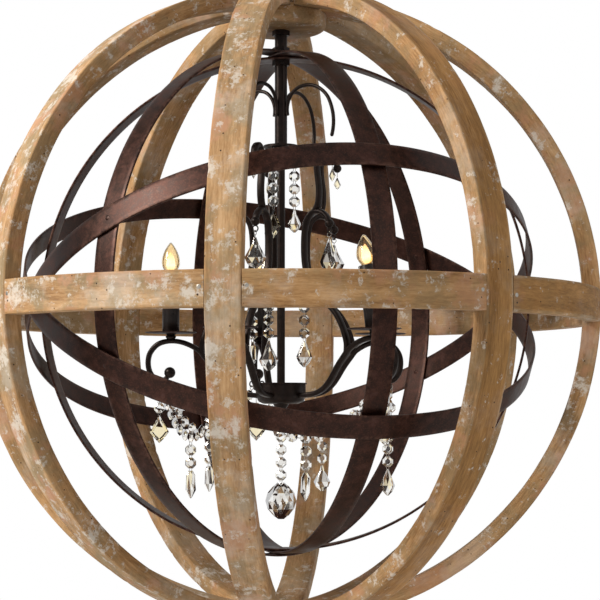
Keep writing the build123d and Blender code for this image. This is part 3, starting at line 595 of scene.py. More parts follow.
def hewn_bar(sheet, route, length, stations, seed, tone):
    """Sweep the strap's section along a route: route(share, across, radius) gives a point."""
    rng = random.Random(seed)
    shift = Vector((rng.uniform(0, 9), rng.uniform(0, 9), rng.uniform(0, 9)))
    depth = STRAP_OUTER - STRAP_INNER
    points, grain, side, tones_and_shade = [], [], [], []
    for station in range(stations + 1):
        share = station / stations
        run = share * length
        for across, deep, edge in SECTION:
            hand = Vector((run * 9, (across > 0) * 5.0, (deep > depth / 2) * 5.0)) + shift
            sway = abs(noise.noise(hand) * SWAY + noise.noise(hand * 4.3) * RIPPLE)
            nick = max(0.0, noise.noise(hand * 9.0 + shift) - NICK_FROM) * NICK * edge
            inward = math.copysign(sway + nick, across) * (abs(across) / STRAP_HALF)
            dip = max(0.0, (0.5 + noise.noise(hand * 2.1 + shift)) * DIP + nick)
            deeper = deep - dip if deep > depth / 2 else deep + dip
            points.append(route(share, across - inward, STRAP_INNER + deeper))
            grain.append((run + shift.x, across + shift.y, deep + shift.z))
            side.append(edge)
            # each point's tone, partly painted shade
            tones_and_shade.append(tone(share))
    faces = grid(stations + 1, len(SECTION)) + caps(stations + 1, len(SECTION))
    sheet.add(points, faces, grain=grain, side=side, tone=tones_and_shade)


print("points round a bar:", len(SECTION))

# %% [markdown]
# ## Eight straps
#
# A strap is an arc from pole to pole. All eight meet there in a mitre, and leave a round hole
# for the stem at the top. The route gives that for nothing: near a pole it squeezes the
# section between the two planes of the mitre.

# %% Eight straps from pole to pole
STRAPS, STEP = 8, 45.0
MITRE = math.tan(math.radians(STEP / 2))
SEAM = 0.25 * MM
STEM_HOLE = 8.9 * MM
STRAP_RUN, STRAP_STATIONS = math.pi * 0.42, 300
# high tones on the straps to the right, away from the key lamp, are painted shade
RIB_TONES_AND_SHADE = (0.16, 0.95, 0.40, 0.34, 0.24, 0.26, 0.22, 0.0)


def strap_route(azimuth):
    """A route over the globe from the top pole to the bottom one, mitred at both."""
    turn = at_azimuth(azimuth)

    def route(share, across, radius):
        start = math.asin(STEM_HOLE / radius)
        angle = start + share * (math.pi - start - 0.004)
        out = radius * math.sin(angle)
        most = max(0.0, out * MITRE - SEAM)
        across = max(-most, min(most, across))
        return turn @ Vector((out, across, radius * math.cos(angle)))

    return route


def rib_tone_and_shade(index):
    """Straps are paler or more golden, the right-hand ones golden as painted shade, and each changes a
    little on its way down.
    """
    def tone(share):
        drift = 0.16 * noise.noise(Vector((share * 5, index * 7.0, 0)))
        return max(0.0, min(1.0, RIB_TONES_AND_SHADE[index] + drift))
    return tone


for index in range(STRAPS):
    sheet = Sheet()
    hewn_bar(sheet, strap_route(index * STEP), STRAP_RUN, STRAP_STATIONS, 11 + index, rib_tone_and_shade(index))
    mesh_piece(f"strap_{index + 1}", sheet, strap_wood,
               replaces=[f"wood_rib_{index + 1}"], smooth=50)
print("straps:", STRAPS, "and points in each:", len(sheet.points))

# %% [markdown]
# ## Eight boards round the equator
#
# Between the straps runs a band of short boards, cut square and butted against the straps'
# sides. It is the same bar on another route. The hub disc under the top pole keeps its CAD
# shape and only gets its wood.

# %% Eight boards round the equator
JOINT_GAP, BOARD_RUN, BOARD_STATIONS = 0.25 * MM, 0.32, 70
# high tones on the boards to the right are painted shade, as on the straps
BOARD_TONES_AND_SHADE = (0.50, 0.90, 0.2, 0.2, 0.22, 0.1, 0.15, 0.0)


def board_route(azimuth):
    """A route round the equator, from one strap's side to the next one's."""
    middle = Matrix.Translation((0.0, 0.0, GLOBE_CENTRE_Z))

    def route(share, across, radius):
        inset = math.asin((STRAP_HALF + JOINT_GAP) / radius)
        angle = math.radians(azimuth) + inset + share * (math.radians(STEP) - 2 * inset)
        return middle @ Vector((radius * math.sin(angle), -radius * math.cos(angle), across))

    return route


def dress(name, material, bevel=0.0):
    """Give a CAD node its finish, and a narrow bevel where it has hard edges."""
    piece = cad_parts[name]
    piece.data.materials.clear()
    piece.data.materials.append(material)
    if bevel:
        rim = piece.modifiers.new("Filed rim", "BEVEL")
        rim.width, rim.segments, rim.limit_method = bevel * MM, 2, "ANGLE"
        rim.angle_limit = math.radians(40)
        rim.use_clamp_overlap = True


band = Sheet()
for index in range(STRAPS):
    hewn_bar(band, board_route(index * STEP), BOARD_RUN, BOARD_STATIONS, 41 + index,
             lambda share, i=index: BOARD_TONES_AND_SHADE[i])
mesh_piece("equator_boards", band, strap_wood, replaces=["equator_band"], smooth=50)
dress("top_hub", hub_wood)
print("boards:", STRAPS, "with points:", len(band.points))

# %% [markdown]
# ## Screws at the board ends
#
# A pale screw head with a plugged hole below it shows near each end of each board. They
# are far too small to matter in the CAD part, so they are made here as low domes: a pale one for
# the screw and a small dark one for the plug.

# %% Screws and plugged holes
DOME_RINGS = ((1.0, -0.4), (1.0, 0.25), (0.8, 0.75), (0.4, 0.97))
BAND_FACE, SCREW_TURN, PLUG_DROP = 431.2, 2.86 + 0.75, 9.0
SCREW_SIZE, PLUG_SIZE = (2.7, 0.5), (1.3, 0.25)


def dome(sheet, place, radius, height, around=18):
    """A low dome on the X-Y plane, of four rings and a top point."""
    points = [(radius * wide * c * MM, radius * wide * s * MM, height * level * MM)
              for wide, level in DOME_RINGS for c, s in circle(around)]
    points.append((0, 0, height * MM))
    last = (len(DOME_RINGS) - 1) * around
    top = [(last + step, last + (step + 1) % around, last + around) for step in range(around)]
    sheet.add(points, grid(len(DOME_RINGS), around) + top, place)


def on_band(azimuth, height):
    """A place on the band's outer face, with Z pointing out of it."""
    way = bearing(azimuth, 1.0 / MM, 0) - bearing(azimuth, 0, 0)
    turn = way.to_track_quat("Z", "Y").to_matrix().to_4x4()
    return Matrix.Translation(bearing(azimuth, BAND_FACE, height)) @ turn


screws, plugs = Sheet(), Sheet()
rng = random.Random(5)
for index in range(STRAPS):
    for side in (-1, 1):
        azimuth = index * STEP + side * SCREW_TURN
        height = rng.uniform(-2.0, 4.0)
        dome(screws, on_band(azimuth, height), *SCREW_SIZE)
        dome(plugs, on_band(azimuth + side * rng.uniform(-0.1, 0.3), height - PLUG_DROP), *PLUG_SIZE)
screw_steel = waxed_iron("Pale screw steel", (0.30, 0.28, 0.25), (0.55, 0.52, 0.47), (0.30, 0.50), 0.8)
plug_dark = waxed_iron("Dark plug", (0.03, 0.017, 0.010), (0.05, 0.03, 0.018), (0.7, 0.9), 0.0)
mesh_piece("board_screws", screws, screw_steel, smooth=60)
mesh_piece("board_plugs", plugs, plug_dark, smooth=60)
print("screws:", 2 * STRAPS)

# %% [markdown]
# ## The iron hoops
#
# Five flat hoops, rolled from strip and riveted. A strip that thin would look like paper
# with perfectly sharp edges, so its section has small round corners, and the edges carry
# a value that the rust uses for its bright scuffs.

# %% Flat hoops
HOOP_INNER, HOOP_PITCH, HOOP_THICKNESS, HOOP_CENTRE = 335.0, 3.6, 3.0, 7.0
UPRIGHT_AZIMUTHS, TILTS, TILT_TURN = (90.0, 30.0, -30.0), (-28.0, 28.0), -60.0
STRIP_CORNER = ((10.0, 0.0, 0.0), (15.2, 0.0, 0.8), (15.8, 0.3, 1.0), (16.0, 0.7, 1.0))
STRIP_HALF = [(HOOP_THICKNESS - sink, across, edge) for across, sink, edge in STRIP_CORNER]
STRIP_HALF += [(sink, across, edge) for across, sink, edge in STRIP_CORNER[::-1]]
STRIP_SECTION = ([(HOOP_THICKNESS, 0.0, 0.0)] + STRIP_HALF + [(0.0, 0.0, 0.0)]
                 + [(out, -across, edge) for out, across, edge in STRIP_HALF[::-1]])


def spin(axis, degrees):
    return Matrix.Rotation(math.radians(degrees), 4, axis)


def flat_hoop(name, level, turn, replaces, steps=256):
    """A hoop whose strip wanders by a tenth of a millimetre; each level lies outside the last."""
    middle = Matrix.Translation((0, 0, GLOBE_CENTRE_Z + HOOP_CENTRE * MM))
    points, edges = [], []
    for c, s in circle(steps):
        for out, across, edge in STRIP_SECTION:
            wander = 0.24 * abs(noise.noise(Vector((c, s, level)) * 6)) if abs(across) > 15 else 0.0
            radius = (HOOP_INNER + level * HOOP_PITCH + out) * MM
            points.append((radius * c, radius * s, (across - math.copysign(wander, across)) * MM))
            edges.append(edge)
    faces = grid(steps, len(STRIP_SECTION), loop=True, flip=True)
    sheet = Sheet().add(points, faces, middle @ turn, edge=edges)
    mesh_piece(name, sheet, hoop_iron, replaces=[replaces], smooth=50)


for level, azimuth in enumerate(UPRIGHT_AZIMUTHS):
    flat_hoop(f"upright_strip_{level + 1}", level, spin("Z", azimuth - 90) @ spin("X", 90),
              f"upright_hoop_{level + 1}")
for level, tilt in enumerate(TILTS):
    flat_hoop(f"tilted_strip_{level + 1}", level + len(UPRIGHT_AZIMUTHS),
              spin("Z", TILT_TURN) @ spin("Y", tilt), f"tilted_hoop_{level + 1}")
print("hoops:", len(UPRIGHT_AZIMUTHS + TILTS))

# %% [markdown]
# ## Stem, cup and fittings
#
# The straight turned fittings already have the right shape in the CAD model, so they stay
# and get the waxed iron. A narrow bevel on the hard-edged ones catches the
# light along their rims, as filed metal does.

# %% Fittings that keep their CAD shape
FILED_RIM = 0.35
ROUND_FITTINGS = ("stem_tube", "stem_rod", "wire_hooks", "hanging_eye", "bottom_finial")
EDGED_FITTINGS = ("stem_nuts", "crown_plate", "cup_lid")
for name in ROUND_FITTINGS:
    dress(name, black_iron)
for name in EDGED_FITTINGS:
    dress(name, black_iron, FILED_RIM)
dress("hoop_rivets", hoop_iron)
dress("lamp_sockets", socket_shell)
print("fittings dressed:", len(ROUND_FITTINGS + EDGED_FITTINGS) + 2)

# %% [markdown]
# ## Turned pieces
#
# Cup, pans, sleeves and bulbs are round about their own axis. Turning a profile is the
# natural way to make them: a list of (radius, height) pairs, closed on itself for a thin wall.

# %% Turning a profile
AXIS = 0.01


def turned(sheet, profile, place, around=48, close=True, **values):
    """Turn a profile about Z. A closed profile makes a wall with two sides."""
    points = [(r * MM * c, r * MM * s, z * MM) for c, s in circle(around) for r, z in profile]
    per_point = {key: list(levels) * around for key, levels in values.items()}
    sheet.add(points, grid(around, len(profile), loop=True, close=close, flip=True), place, **per_point)


def rod(radius, low, high):
    """The profile of a solid rod; its ends stop a hair from the axis, so they stay quads."""
    return [(AXIS, low), (radius, low), (radius, high), (AXIS, high)]


def rounded(corners, radius=0.6):
    """Cut each corner of a closed profile in two, so that its edge catches the light."""
    result = []
    for before, corner, after in zip(corners[-1:] + corners[:-1], corners, corners[1:] + corners[:1]):
        for other in (before, after):
            span = math.dist(corner, other)
            share = min(radius, span * 0.4) / span
            result.append(tuple(here + (there - here) * share for here, there in zip(corner, other)))
    return result


CUP_OUTSIDE = [(6.0, -130.0), (24.0, -130.0), (31.5, -126.5), (34.0, -119.0), (34.0, -101.6)]
CUP_INSIDE = [(33.2, -101.2), (31.5, -101.2), (31.5, -118.0), (29.0, -125.0), (23.0, -127.5), (6.0, -127.5)]
cup = Sheet()
turned(cup, rounded(CUP_OUTSIDE + CUP_INSIDE, 1.2), at_azimuth(90.0), 64)
mesh_piece("turned_cup", cup, black_iron, replaces=["hub_cup"], smooth=45)
print("points on the cup:", len(cup.points))

# %% [markdown]
# ## Arms and scrolls
#
# Each arm is a flat bar bent on edge by a smith: up from the cup, over, and round into a curl
# that ends in a ball. The bars have soft corners, and they thin a little towards the
# ball. A smooth curve through the CAD part's own points keeps them where the arms are.

# %% Lines of the bars, in mm from the stem and the globe's centre
ARM_AZIMUTHS = (-16.0, 61.0, 124.0, 201.0, 269.0)
ARM_LINE = ((30, -119), (60.5, -115), (79.5, -103), (96.5, -79), (106, -67), (117, -55), (136, -45.5),
            (155.5, -42.5), (173, -46.5), (184.5, -58), (188, -72), (185, -86.5), (175, -97),
            (163.5, -95.5), (157, -86.5))
LOWER_LINE = ((111, -60.5), (110.5, -45.5), (102, -23), (88, -3), (64, 16), (49, 35), (41.5, 60),
              (40, 91), (43.5, 117), (54, 129), (67, 130), (77.5, 123), (82, 113))
UPPER_LINE = ((56.5, 129), (63.5, 142), (65, 162), (61.5, 188), (62.5, 206), (72, 216), (83, 211),
              (87, 199))
BAR_THICKNESS, BAR_WIDTH, BAR_CORNER, ARM_BALL, SCROLL_BALL = 7.0, 10.0, 2.9, 7.8, 6.0
HAMMER_DENT, TAPER, TAPER_FROM = 0.13, 0.14, 0.8


def smooth_line(points, per_span=7):
    """Points of a smooth curve through the given ones."""
    ends = [2 * Vector(points[0]) - Vector(points[1]), 2 * Vector(points[-1]) - Vector(points[-2])]
    rim = [ends[0]] + [Vector(p) for p in points] + [ends[1]]
    line = []
    for a, b, c, d in zip(rim, rim[1:], rim[2:], rim[3:]):
        for step in range(per_span):
            t = step / per_span
            line.append(0.5 * (2 * b + (c - a) * t + (2 * a - 5 * b + 4 * c - d) * t * t
                               + (3 * b - a - 3 * c + d) * t ** 3))
    return line + [rim[-2]]


def bar_section(thickness, width, corner):
    """Round-cornered section: (along the bend, across the bar)."""
    points = []
    for quarter, (side, flat) in enumerate(((1, 1), (-1, 1), (-1, -1), (1, -1))):
        for angle in (0, 30, 60, 90):
            turn = math.radians(quarter * 90 + angle)
            points.append((side * (thickness / 2 - corner) + corner * math.cos(turn),
                           flat * (width / 2 - corner) + corner * math.sin(turn)))
    return points


def forged_bar(sheet, points, place, seed):
    """Sweep the bar along its line, with small hammer marks and a slight taper at the ball."""
    line = smooth_line(points)
    section = bar_section(BAR_THICKNESS, BAR_WIDTH, BAR_CORNER)
    rings = []
    for index, here in enumerate(line):
        way = (line[min(index + 1, len(line) - 1)] - line[max(index - 1, 0)]).normalized()
        side = Vector((way.y, -way.x))
        share = index / (len(line) - 1)
        taper = 1.0 - TAPER * max(0.0, (share - TAPER_FROM) / (1.0 - TAPER_FROM))
        for bend, across in section:
            sample = Vector((here.x * 0.16 + seed, here.y * 0.16, bend * 0.3 + across))
            dent = HAMMER_DENT * noise.noise(sample)
            corner = here + side * (bend * taper + math.copysign(dent, -bend))
            rings.append((corner.x * MM, across * taper * MM, corner.y * MM))
    sheet.add(rings, grid(len(line), len(section)) + caps(len(line), len(section)), place)


def spot(place):
    return Matrix.Translation(place)


def forged_ball(sheet, centre, radius, place):
    """A ball end, turned like everything round."""
    turns = [math.radians(angle) for angle in range(0, 181, 12)]
    profile = [(max(radius * math.sin(turn), AXIS), -radius * math.cos(turn)) for turn in turns]
    turned(sheet, profile, place @ spot((centre[0] * MM, 0, centre[1] * MM)), 28, close=False)


def wire_ring(sheet, radius, wire, place, around=24, section=8, stretch=1.0):
    """A wire ring in the X-Z plane about the place's origin, stretched along Z."""
    points = []
    for aside, upward in circle(around):
        lift = math.copysign(radius * (stretch - 1), upward)
        for out, through in circle(section):
            reach = radius + wire * out
            points.append((reach * aside * MM, wire * through * MM, (reach * upward + lift) * MM))
    sheet.add(points, grid(around, section, loop=True), place)


print("bends in an arm:", len(ARM_LINE))

# %% [markdown]
# ## Arms with their link eyes
#
# Under each arm's curl hang a drop and two garland ends, each in a wire eye welded to the bar. The
# garlands' eyes face along the garland, which runs straight from one arm to the next.

# %% Arms with their link eyes
CURL_RADIUS, CURL_HOOK_Z, GARLAND_HOOK_Z, GARLAND_REACH = 172.0, -109.6, -104.9, 9.5
LINK_EYE, LINK_WIRE = 4.0, 1.0


def garland_ends(index):
    """A garland's two hook points and its level direction."""
    following = (index + 1) % len(ARM_AZIMUTHS)
    here = bearing(ARM_AZIMUTHS[index], CURL_RADIUS, GARLAND_HOOK_Z)
    there = bearing(ARM_AZIMUTHS[following], CURL_RADIUS, GARLAND_HOOK_Z)
    along = (there - here).normalized()
    return here + along * GARLAND_REACH * MM, there - along * GARLAND_REACH * MM, along


def facing_frame(place, along):
    """A frame at a place with its X axis along a level direction and its Z axis up."""
    across = Vector((0, 0, 1)).cross(along)
    turn = Matrix((along, across, Vector((0, 0, 1)))).transposed().to_4x4()
    return Matrix.Translation(place) @ turn


def link_eye(sheet, place):
    """An eye whose lowest wire passes through the place's origin."""
    wire_ring(sheet, LINK_EYE, LINK_WIRE, place @ spot((0, 0, LINK_EYE * MM)))


def across_eye(sheet, place):
    """An eye that stands across the bar's plane."""
    link_eye(sheet, place @ spin("Z", 90))


for index, azimuth in enumerate(ARM_AZIMUTHS):
    arm, turn = Sheet(), at_azimuth(azimuth)
    forged_bar(arm, ARM_LINE, turn, index * 3.1)
    forged_ball(arm, ARM_LINE[-1], ARM_BALL, turn)
    across_eye(arm, turn @ spot((CURL_RADIUS * MM, 0, CURL_HOOK_Z * MM)))
    start, _, leaving = garland_ends(index)
    _, end, arriving = garland_ends(index - 1)
    link_eye(arm, facing_frame(start, leaving))
    link_eye(arm, facing_frame(end, arriving))
    mesh_piece(f"forged_arm_{index + 1}", arm, black_iron,
               replaces=[f"candle_arm_{index + 1}"], smooth=60)
print("arms:", len(ARM_AZIMUTHS))

# %% [markdown]
# ## Scrolls
#
# A lower scroll climbs from each arm's shoulder and curls over towards the room, and an upper
# scroll stands on it. Three of the lower ones carry a short peg on the inside, with an
# eye for one more string.

# %% Lower and upper scrolls
SCROLL_HOOK_Z, PEG_Z, PEG_FOOT, PEG_RADIUS, PEG_LENGTH = 99.4, 37.0, 38.7, 1.3, 9.0
INNER_HOOK_RADIUS, INNER_HOOK_Z = 40.0, PEG_Z - 8.0
PEG_ARMS = (0, 1, 4)
lower, upper = Sheet(), Sheet()
for index, azimuth in enumerate(ARM_AZIMUTHS):
    turn = at_azimuth(azimuth)
    forged_bar(lower, LOWER_LINE, turn, 20 + index)
    forged_ball(lower, LOWER_LINE[-1], SCROLL_BALL, turn)
    across_eye(lower, turn @ spot((LOWER_LINE[-1][0] * MM, 0, SCROLL_HOOK_Z * MM)))
    if index in PEG_ARMS:
        peg_place = turn @ spot((PEG_FOOT * MM, 0, PEG_Z * MM)) @ spin("Y", 90)
        turned(lower, rod(PEG_RADIUS, 0, PEG_LENGTH), peg_place, 14, close=False)
        across_eye(lower, turn @ spot((INNER_HOOK_RADIUS * MM, 0, INNER_HOOK_Z * MM)))
    forged_bar(upper, UPPER_LINE, turn, 40 + index)
    forged_ball(upper, UPPER_LINE[-1], SCROLL_BALL, turn)
mesh_piece("forged_lower_scrolls", lower, black_iron, replaces=["lower_scrolls"], smooth=60)
mesh_piece("forged_upper_scrolls", upper, black_iron, replaces=["upper_scrolls"], smooth=60)
print("scrolls:", 2 * len(ARM_AZIMUTHS))

# %% [markdown]
# ## Candles
#
# A candle is a stack: neck, thin pan with a raised rim, nipple, black sleeve and bulb. Each is a
# turned profile on the arm's highest point. The right one leans towards the stem in the
# photograph, so it does here.

# %% Necks, pans and sleeves
PAN_TOP_Z, PAN_THICKNESS, CANDLE_REACH = -31.1, 1.4, 155.5
SLEEVE_RADIUS, SLEEVE_BORE, SLEEVE_HEIGHT = 12.0, 11.0, 83.0
LEANS = (0.0, 8.0, 0.0, 0.0, 0.0)


def candle_place(index):
    """A candle's foot on its pan, with its lean."""
    lean = math.radians(LEANS[index])
    lift = PAN_TOP_Z + SLEEVE_RADIUS * math.sin(lean)
    stand = Matrix.Translation((CANDLE_REACH * MM, 0, lift * MM))
    return at_azimuth(ARM_AZIMUTHS[index]) @ stand @ Matrix.Rotation(-lean, 4, "Y")


pans, necks, sleeves = Sheet(), Sheet(), Sheet()
pan_profile = rounded([(5.6, 0), (17, 0), (28, 0.5), (36, 1.3), (36, 2.4), (28, 1.7),
                       (17, PAN_THICKNESS), (5.6, PAN_THICKNESS)], 0.4)
sleeve_profile = rounded([(SLEEVE_BORE, 0), (SLEEVE_RADIUS, 0), (SLEEVE_RADIUS, SLEEVE_HEIGHT),
                          (SLEEVE_BORE, SLEEVE_HEIGHT)], 0.35)
neck_profile = [(AXIS, -8.6), (5.4, -8.6), (7.3, -6.2), (7.3, -5.2), (6.2, -4.0), (6.2, -2.8),
                (7.3, -1.8), (7.3, -1.42), (AXIS, -1.42)]
nipple_profile = rod(5.0, -4.0, 45.0)
for index, azimuth in enumerate(ARM_AZIMUTHS):
    level = at_azimuth(azimuth) @ spot((CANDLE_REACH * MM, 0, (PAN_TOP_Z - PAN_THICKNESS) * MM))
    turned(pans, pan_profile, level, 64)
    turned(necks, neck_profile, level @ spot((0, 0, PAN_THICKNESS * MM)), 36, close=False)
    turned(necks, nipple_profile, candle_place(index), 24, close=False)
    turned(sleeves, sleeve_profile, candle_place(index), 56)
mesh_piece("turned_pans", pans, pan_iron, replaces=["drip_pans"], smooth=45)
mesh_piece("turned_necks", necks, black_iron, replaces=["candle_necks"], smooth=45)
mesh_piece("enamel_sleeves", sleeves, sleeve_black, replaces=["candle_sleeves"], smooth=45)
print("candles:", len(ARM_AZIMUTHS))

# %% [markdown]
# ## Flame bulbs
#
# A flame bulb is a thin glass shell on a small brass screw base. Its filament burns too bright to
# see, so the lit heart is a smaller flame inside the shell. Its glow value runs from 0
# at the foot to 1 at the tip, and the material turns that into colour.

# %% Flame bulbs
FOOT_Z, FLAME_HEIGHT, FLAME_RADIUS, BULB_FOOT, BELLY_SHARE = 83.3, 42.0, 12.6, 6.1, 0.34
GLASS_WALL, HEART_STEPS, THREAD_TURNS, THREAD_PITCH = 0.8, 16, 12, 2


def flame_side(foot_z, height, belly, foot, steps=22):
    """The side of a flame from its foot to its tip: (radius, height) pairs."""
    side = []
    for step in range(steps + 1):
        share = step / steps
        if share < BELLY_SHARE:
            rise = share / BELLY_SHARE
            radius = foot + (belly - foot) * math.sin(rise * math.pi / 2) ** 0.9
        else:
            fall = (share - BELLY_SHARE) / (1.0 - BELLY_SHARE)
            radius = belly * (1 - fall ** 1.75) ** 0.92 + foot * 0.16 * fall
        side.append((radius, foot_z + share * height))
    return side


glass, glow, brass = Sheet(), Sheet(), Sheet()
outer_side = flame_side(FOOT_Z, FLAME_HEIGHT, FLAME_RADIUS, BULB_FOOT)
inner_side = flame_side(FOOT_Z + 1, FLAME_HEIGHT - 2.4, FLAME_RADIUS - GLASS_WALL, BULB_FOOT - GLASS_WALL)
shell = [(AXIS, FOOT_Z), *outer_side, (AXIS, FOOT_Z + FLAME_HEIGHT), (AXIS, FOOT_Z + FLAME_HEIGHT - 1.4),
         *inner_side[::-1], (AXIS, FOOT_Z + 1)]
heart = flame_side(FOOT_Z + 3, 26.0, 6.2, 3.2, HEART_STEPS)
heart_levels = [step / HEART_STEPS for step in range(HEART_STEPS + 1)]
base = [(AXIS, 53.5), (5.3, 53.5), (5.3, 56.0)]
for thread in range(THREAD_TURNS):
    base += [(6.05, 57.0 + thread * THREAD_PITCH), (5.6, 58.0 + thread * THREAD_PITCH)]
base += [(6.0, 82.0), (6.0, 83.2), (AXIS, 83.2)]
for index in range(len(ARM_AZIMUTHS)):
    place = candle_place(index)
    turned(glass, shell, place, 40)
    turned(glow, heart, place, 24, close=False, glow=heart_levels)
    turned(brass, base, place, 32, close=False)
mesh_piece("bulb_shells", glass, bulb_glass, replaces=["candle_bulbs"], smooth=60)
mesh_piece("bulb_hearts", glow, bulb_glow, smooth=60)
mesh_piece("bulb_bases", brass, socket_shell, smooth=45)
print("bulbs:", len(ARM_AZIMUTHS), "and points in all shells:", len(glass.points))

# %% [markdown]
# ## Cut crystal
#
# Octagon beads and drops are cut glass: flat faces, with no smoothing. Turning every second
# ring of corners by half a step gives the triangles and kites of a real cut. Each face gets one of
# four tints from a seeded draw: clear, amber, and a grey and a dark one that are painted
# reflections; together they make the stones sparkle.

# %% Stones between rings of corners
# SHADE and GREY_REFLECTION are painted reflections of dark surroundings, not tints of the glass
CLEAR, GREY_REFLECTION, SHADE = (0.93, 0.93, 0.91, 1), (0.66, 0.63, 0.58, 1), (0.30, 0.27, 0.24, 1)
AMBER, STRAW = (0.97, 0.80, 0.42, 1), (0.93, 0.83, 0.57, 1)
OUTLINES = {
    "pear": ((0, .12), (.22, .34), (.64, 1), (.84, .8), (1, .15)),
    "almond": ((0, .12), (.34, .66), (.62, 1), (.84, .7), (1, .12)),
    "spear": ((0, .45), (.16, .9), (.7, 1), (1, .12)),
    "round": ((0, .2), (.1, .5), (.28, .84), (.5, 1), (.72, .84), (.9, .5), (1, .2)),
}
# the ball gets no painted shade and more painted grey reflection
CALM_TINTS = {"amber": 0.10, "shade": 0.0, "grey_reflection": 0.45}


def facet_tints_and_reflections(rng, count, amber=0.14, shade=0.15, grey_reflection=0.28):
    """One tint for each face; the shares of amber, of painted shade and of painted grey reflection leave
    the rest clear.
    """
    marks = ((amber, AMBER), (amber + shade, SHADE), (amber + shade + grey_reflection, GREY_REFLECTION), (2.0, CLEAR))
    draws = [rng.random() for _ in range(count)]
    return [next(tint for mark, tint in marks if draw < mark) for draw in draws]


def cut_stone(sheet, rings, sides, place, rng, **shares):
    """Flat triangles between rings of corners: each ring is (height, half width, half depth)."""
    points, faces = [], []
    for ring, (height, wide, deep) in enumerate(rings):
        points += [(wide * c * MM, deep * s * MM, height * MM) for c, s in circle(sides, 0.5 * (ring % 2))]
    for ring in range(len(rings) - 1):
        here, there, shift = ring * sides, (ring + 1) * sides, ring % 2
        for corner in range(sides):
            a, b = here + corner, here + (corner + 1) % sides
            c, d = there + (corner + shift) % sides, there + (corner + shift - 1) % sides
            faces += [(a, b, c), (a, c, d)]
    faces += caps(len(rings), sides)
    # each face's tint, mostly painted reflection
    sheet.add(points, faces, place, facet=facet_tints_and_reflections(rng, len(faces), **shares))


def drop_stone(sheet, kind, length, width, place, rng):
    """A hanging stone with its top at the place's origin."""
    if kind == "kite":
        return kite_stone(sheet, length, width, place, rng)
    ball = kind == "round"
    ratio, sides = (1.0, 14) if ball else (0.5, 8)
    rings = [(-share * length, half * width / 2, half * width / 2 * ratio)
             for share, half in OUTLINES[kind]]
    cut_stone(sheet, rings, sides, place, rng, **(CALM_TINTS if ball else {}))


print("stone outlines:", ", ".join(OUTLINES))

# %% [markdown]
# ## Kites and octagons
#
# Two stones are flat plates with a table on both faces: the kite, whose tables are straw
# yellow in the photograph, and the octagon bead. Both are four eight-sided rings, from one
# table over the two rims to the other table.

# %% Kites and octagons
KITE_HALF = ((0, 0.0), (0.5, -0.30), (1.0, -0.60), (0.52, -0.82))
KITE_OUTLINE = KITE_HALF + ((0, -1.0),) + tuple((-x, z) for x, z in KITE_HALF[:0:-1])
KITE_MIDDLE, KITE_LAYERS = -0.56, ((0.64, -0.17), (1.0, -0.03), (1.0, 0.03), (0.64, 0.17))
OCTAGON_WIDTH, OCTAGON_DEPTH, OCTAGON_TINTS = 14.5, 6.5, (0.08, 0.06, 0.40)
OCTAGON_LAYERS = ((0.52, -0.5), (1.0, -0.08), (1.0, 0.08), (0.52, 0.5))


def kite_stone(sheet, length, width, place, rng):
    """A flat kite with a broad table on both faces and slanting facets round it."""
    points = [(x * scale * width / 2 * MM, depth * width * MM,
               (KITE_MIDDLE + (z - KITE_MIDDLE) * scale) * length * MM)
              for scale, depth in KITE_LAYERS for x, z in KITE_OUTLINE]
    faces = grid(4, 8) + caps(4, 8)
    tints = facet_tints_and_reflections(rng, len(faces), 0.2)
    tints[-2:] = [STRAW, STRAW]
    sheet.add(points, faces, place, facet=tints)


def octagon_bead(sheet, place, rng):
    """A flat eight-sided bead in the X-Z plane with its top edge at the place's origin.

    The faces round its rim stay whole, and the slanting ones are cut in two, mirrored in turn.
    """
    rim = OCTAGON_WIDTH / 2 / math.cos(math.pi / 8)
    points = [(rim * size * c * MM, depth * OCTAGON_DEPTH * MM, (rim * size * s - OCTAGON_WIDTH / 2) * MM)
              for size, depth in OCTAGON_LAYERS for c, s in circle(8, 0.5)]
    faces = []
    for index, (a, b, c, d) in enumerate(grid(4, 8)):
        if index // 8 == 1:
            faces.append((a, b, c, d))
        else:
            faces += [(a, b, c), (a, c, d)] if index % 2 else [(a, b, d), (b, c, d)]
    faces += caps(4, 8)
    tints = facet_tints_and_reflections(rng, len(faces), *OCTAGON_TINTS)
    # a clear table, and on the back a clear one or a painted grey reflection
    tints[-2:] = [CLEAR, rng.choice((CLEAR, GREY_REFLECTION))]
    sheet.add(points, faces, place, facet=tints)


print("corners of a kite:", len(KITE_OUTLINE))

# %% [markdown]
# ## Strings that hang and swing
#
# A string is a ring in an eye, a pin, octagons on small oval links, and a last stone. It rides
# on the body of its own joint, so it swings as one. The class gathers a string's glass and
# its wire in two meshes, because they have different materials.

# %% Strings that hang and swing
PIN_LENGTH, PIN_RADIUS, LINK_RADIUS, LINK_THIN, LINK_STRETCH = 3.0, 0.5, 1.5, 0.38, 1.9
RING_RADIUS, RING_WIRE, RING_DROP = 3.2, 0.5, 1.4
FACING = 9.0


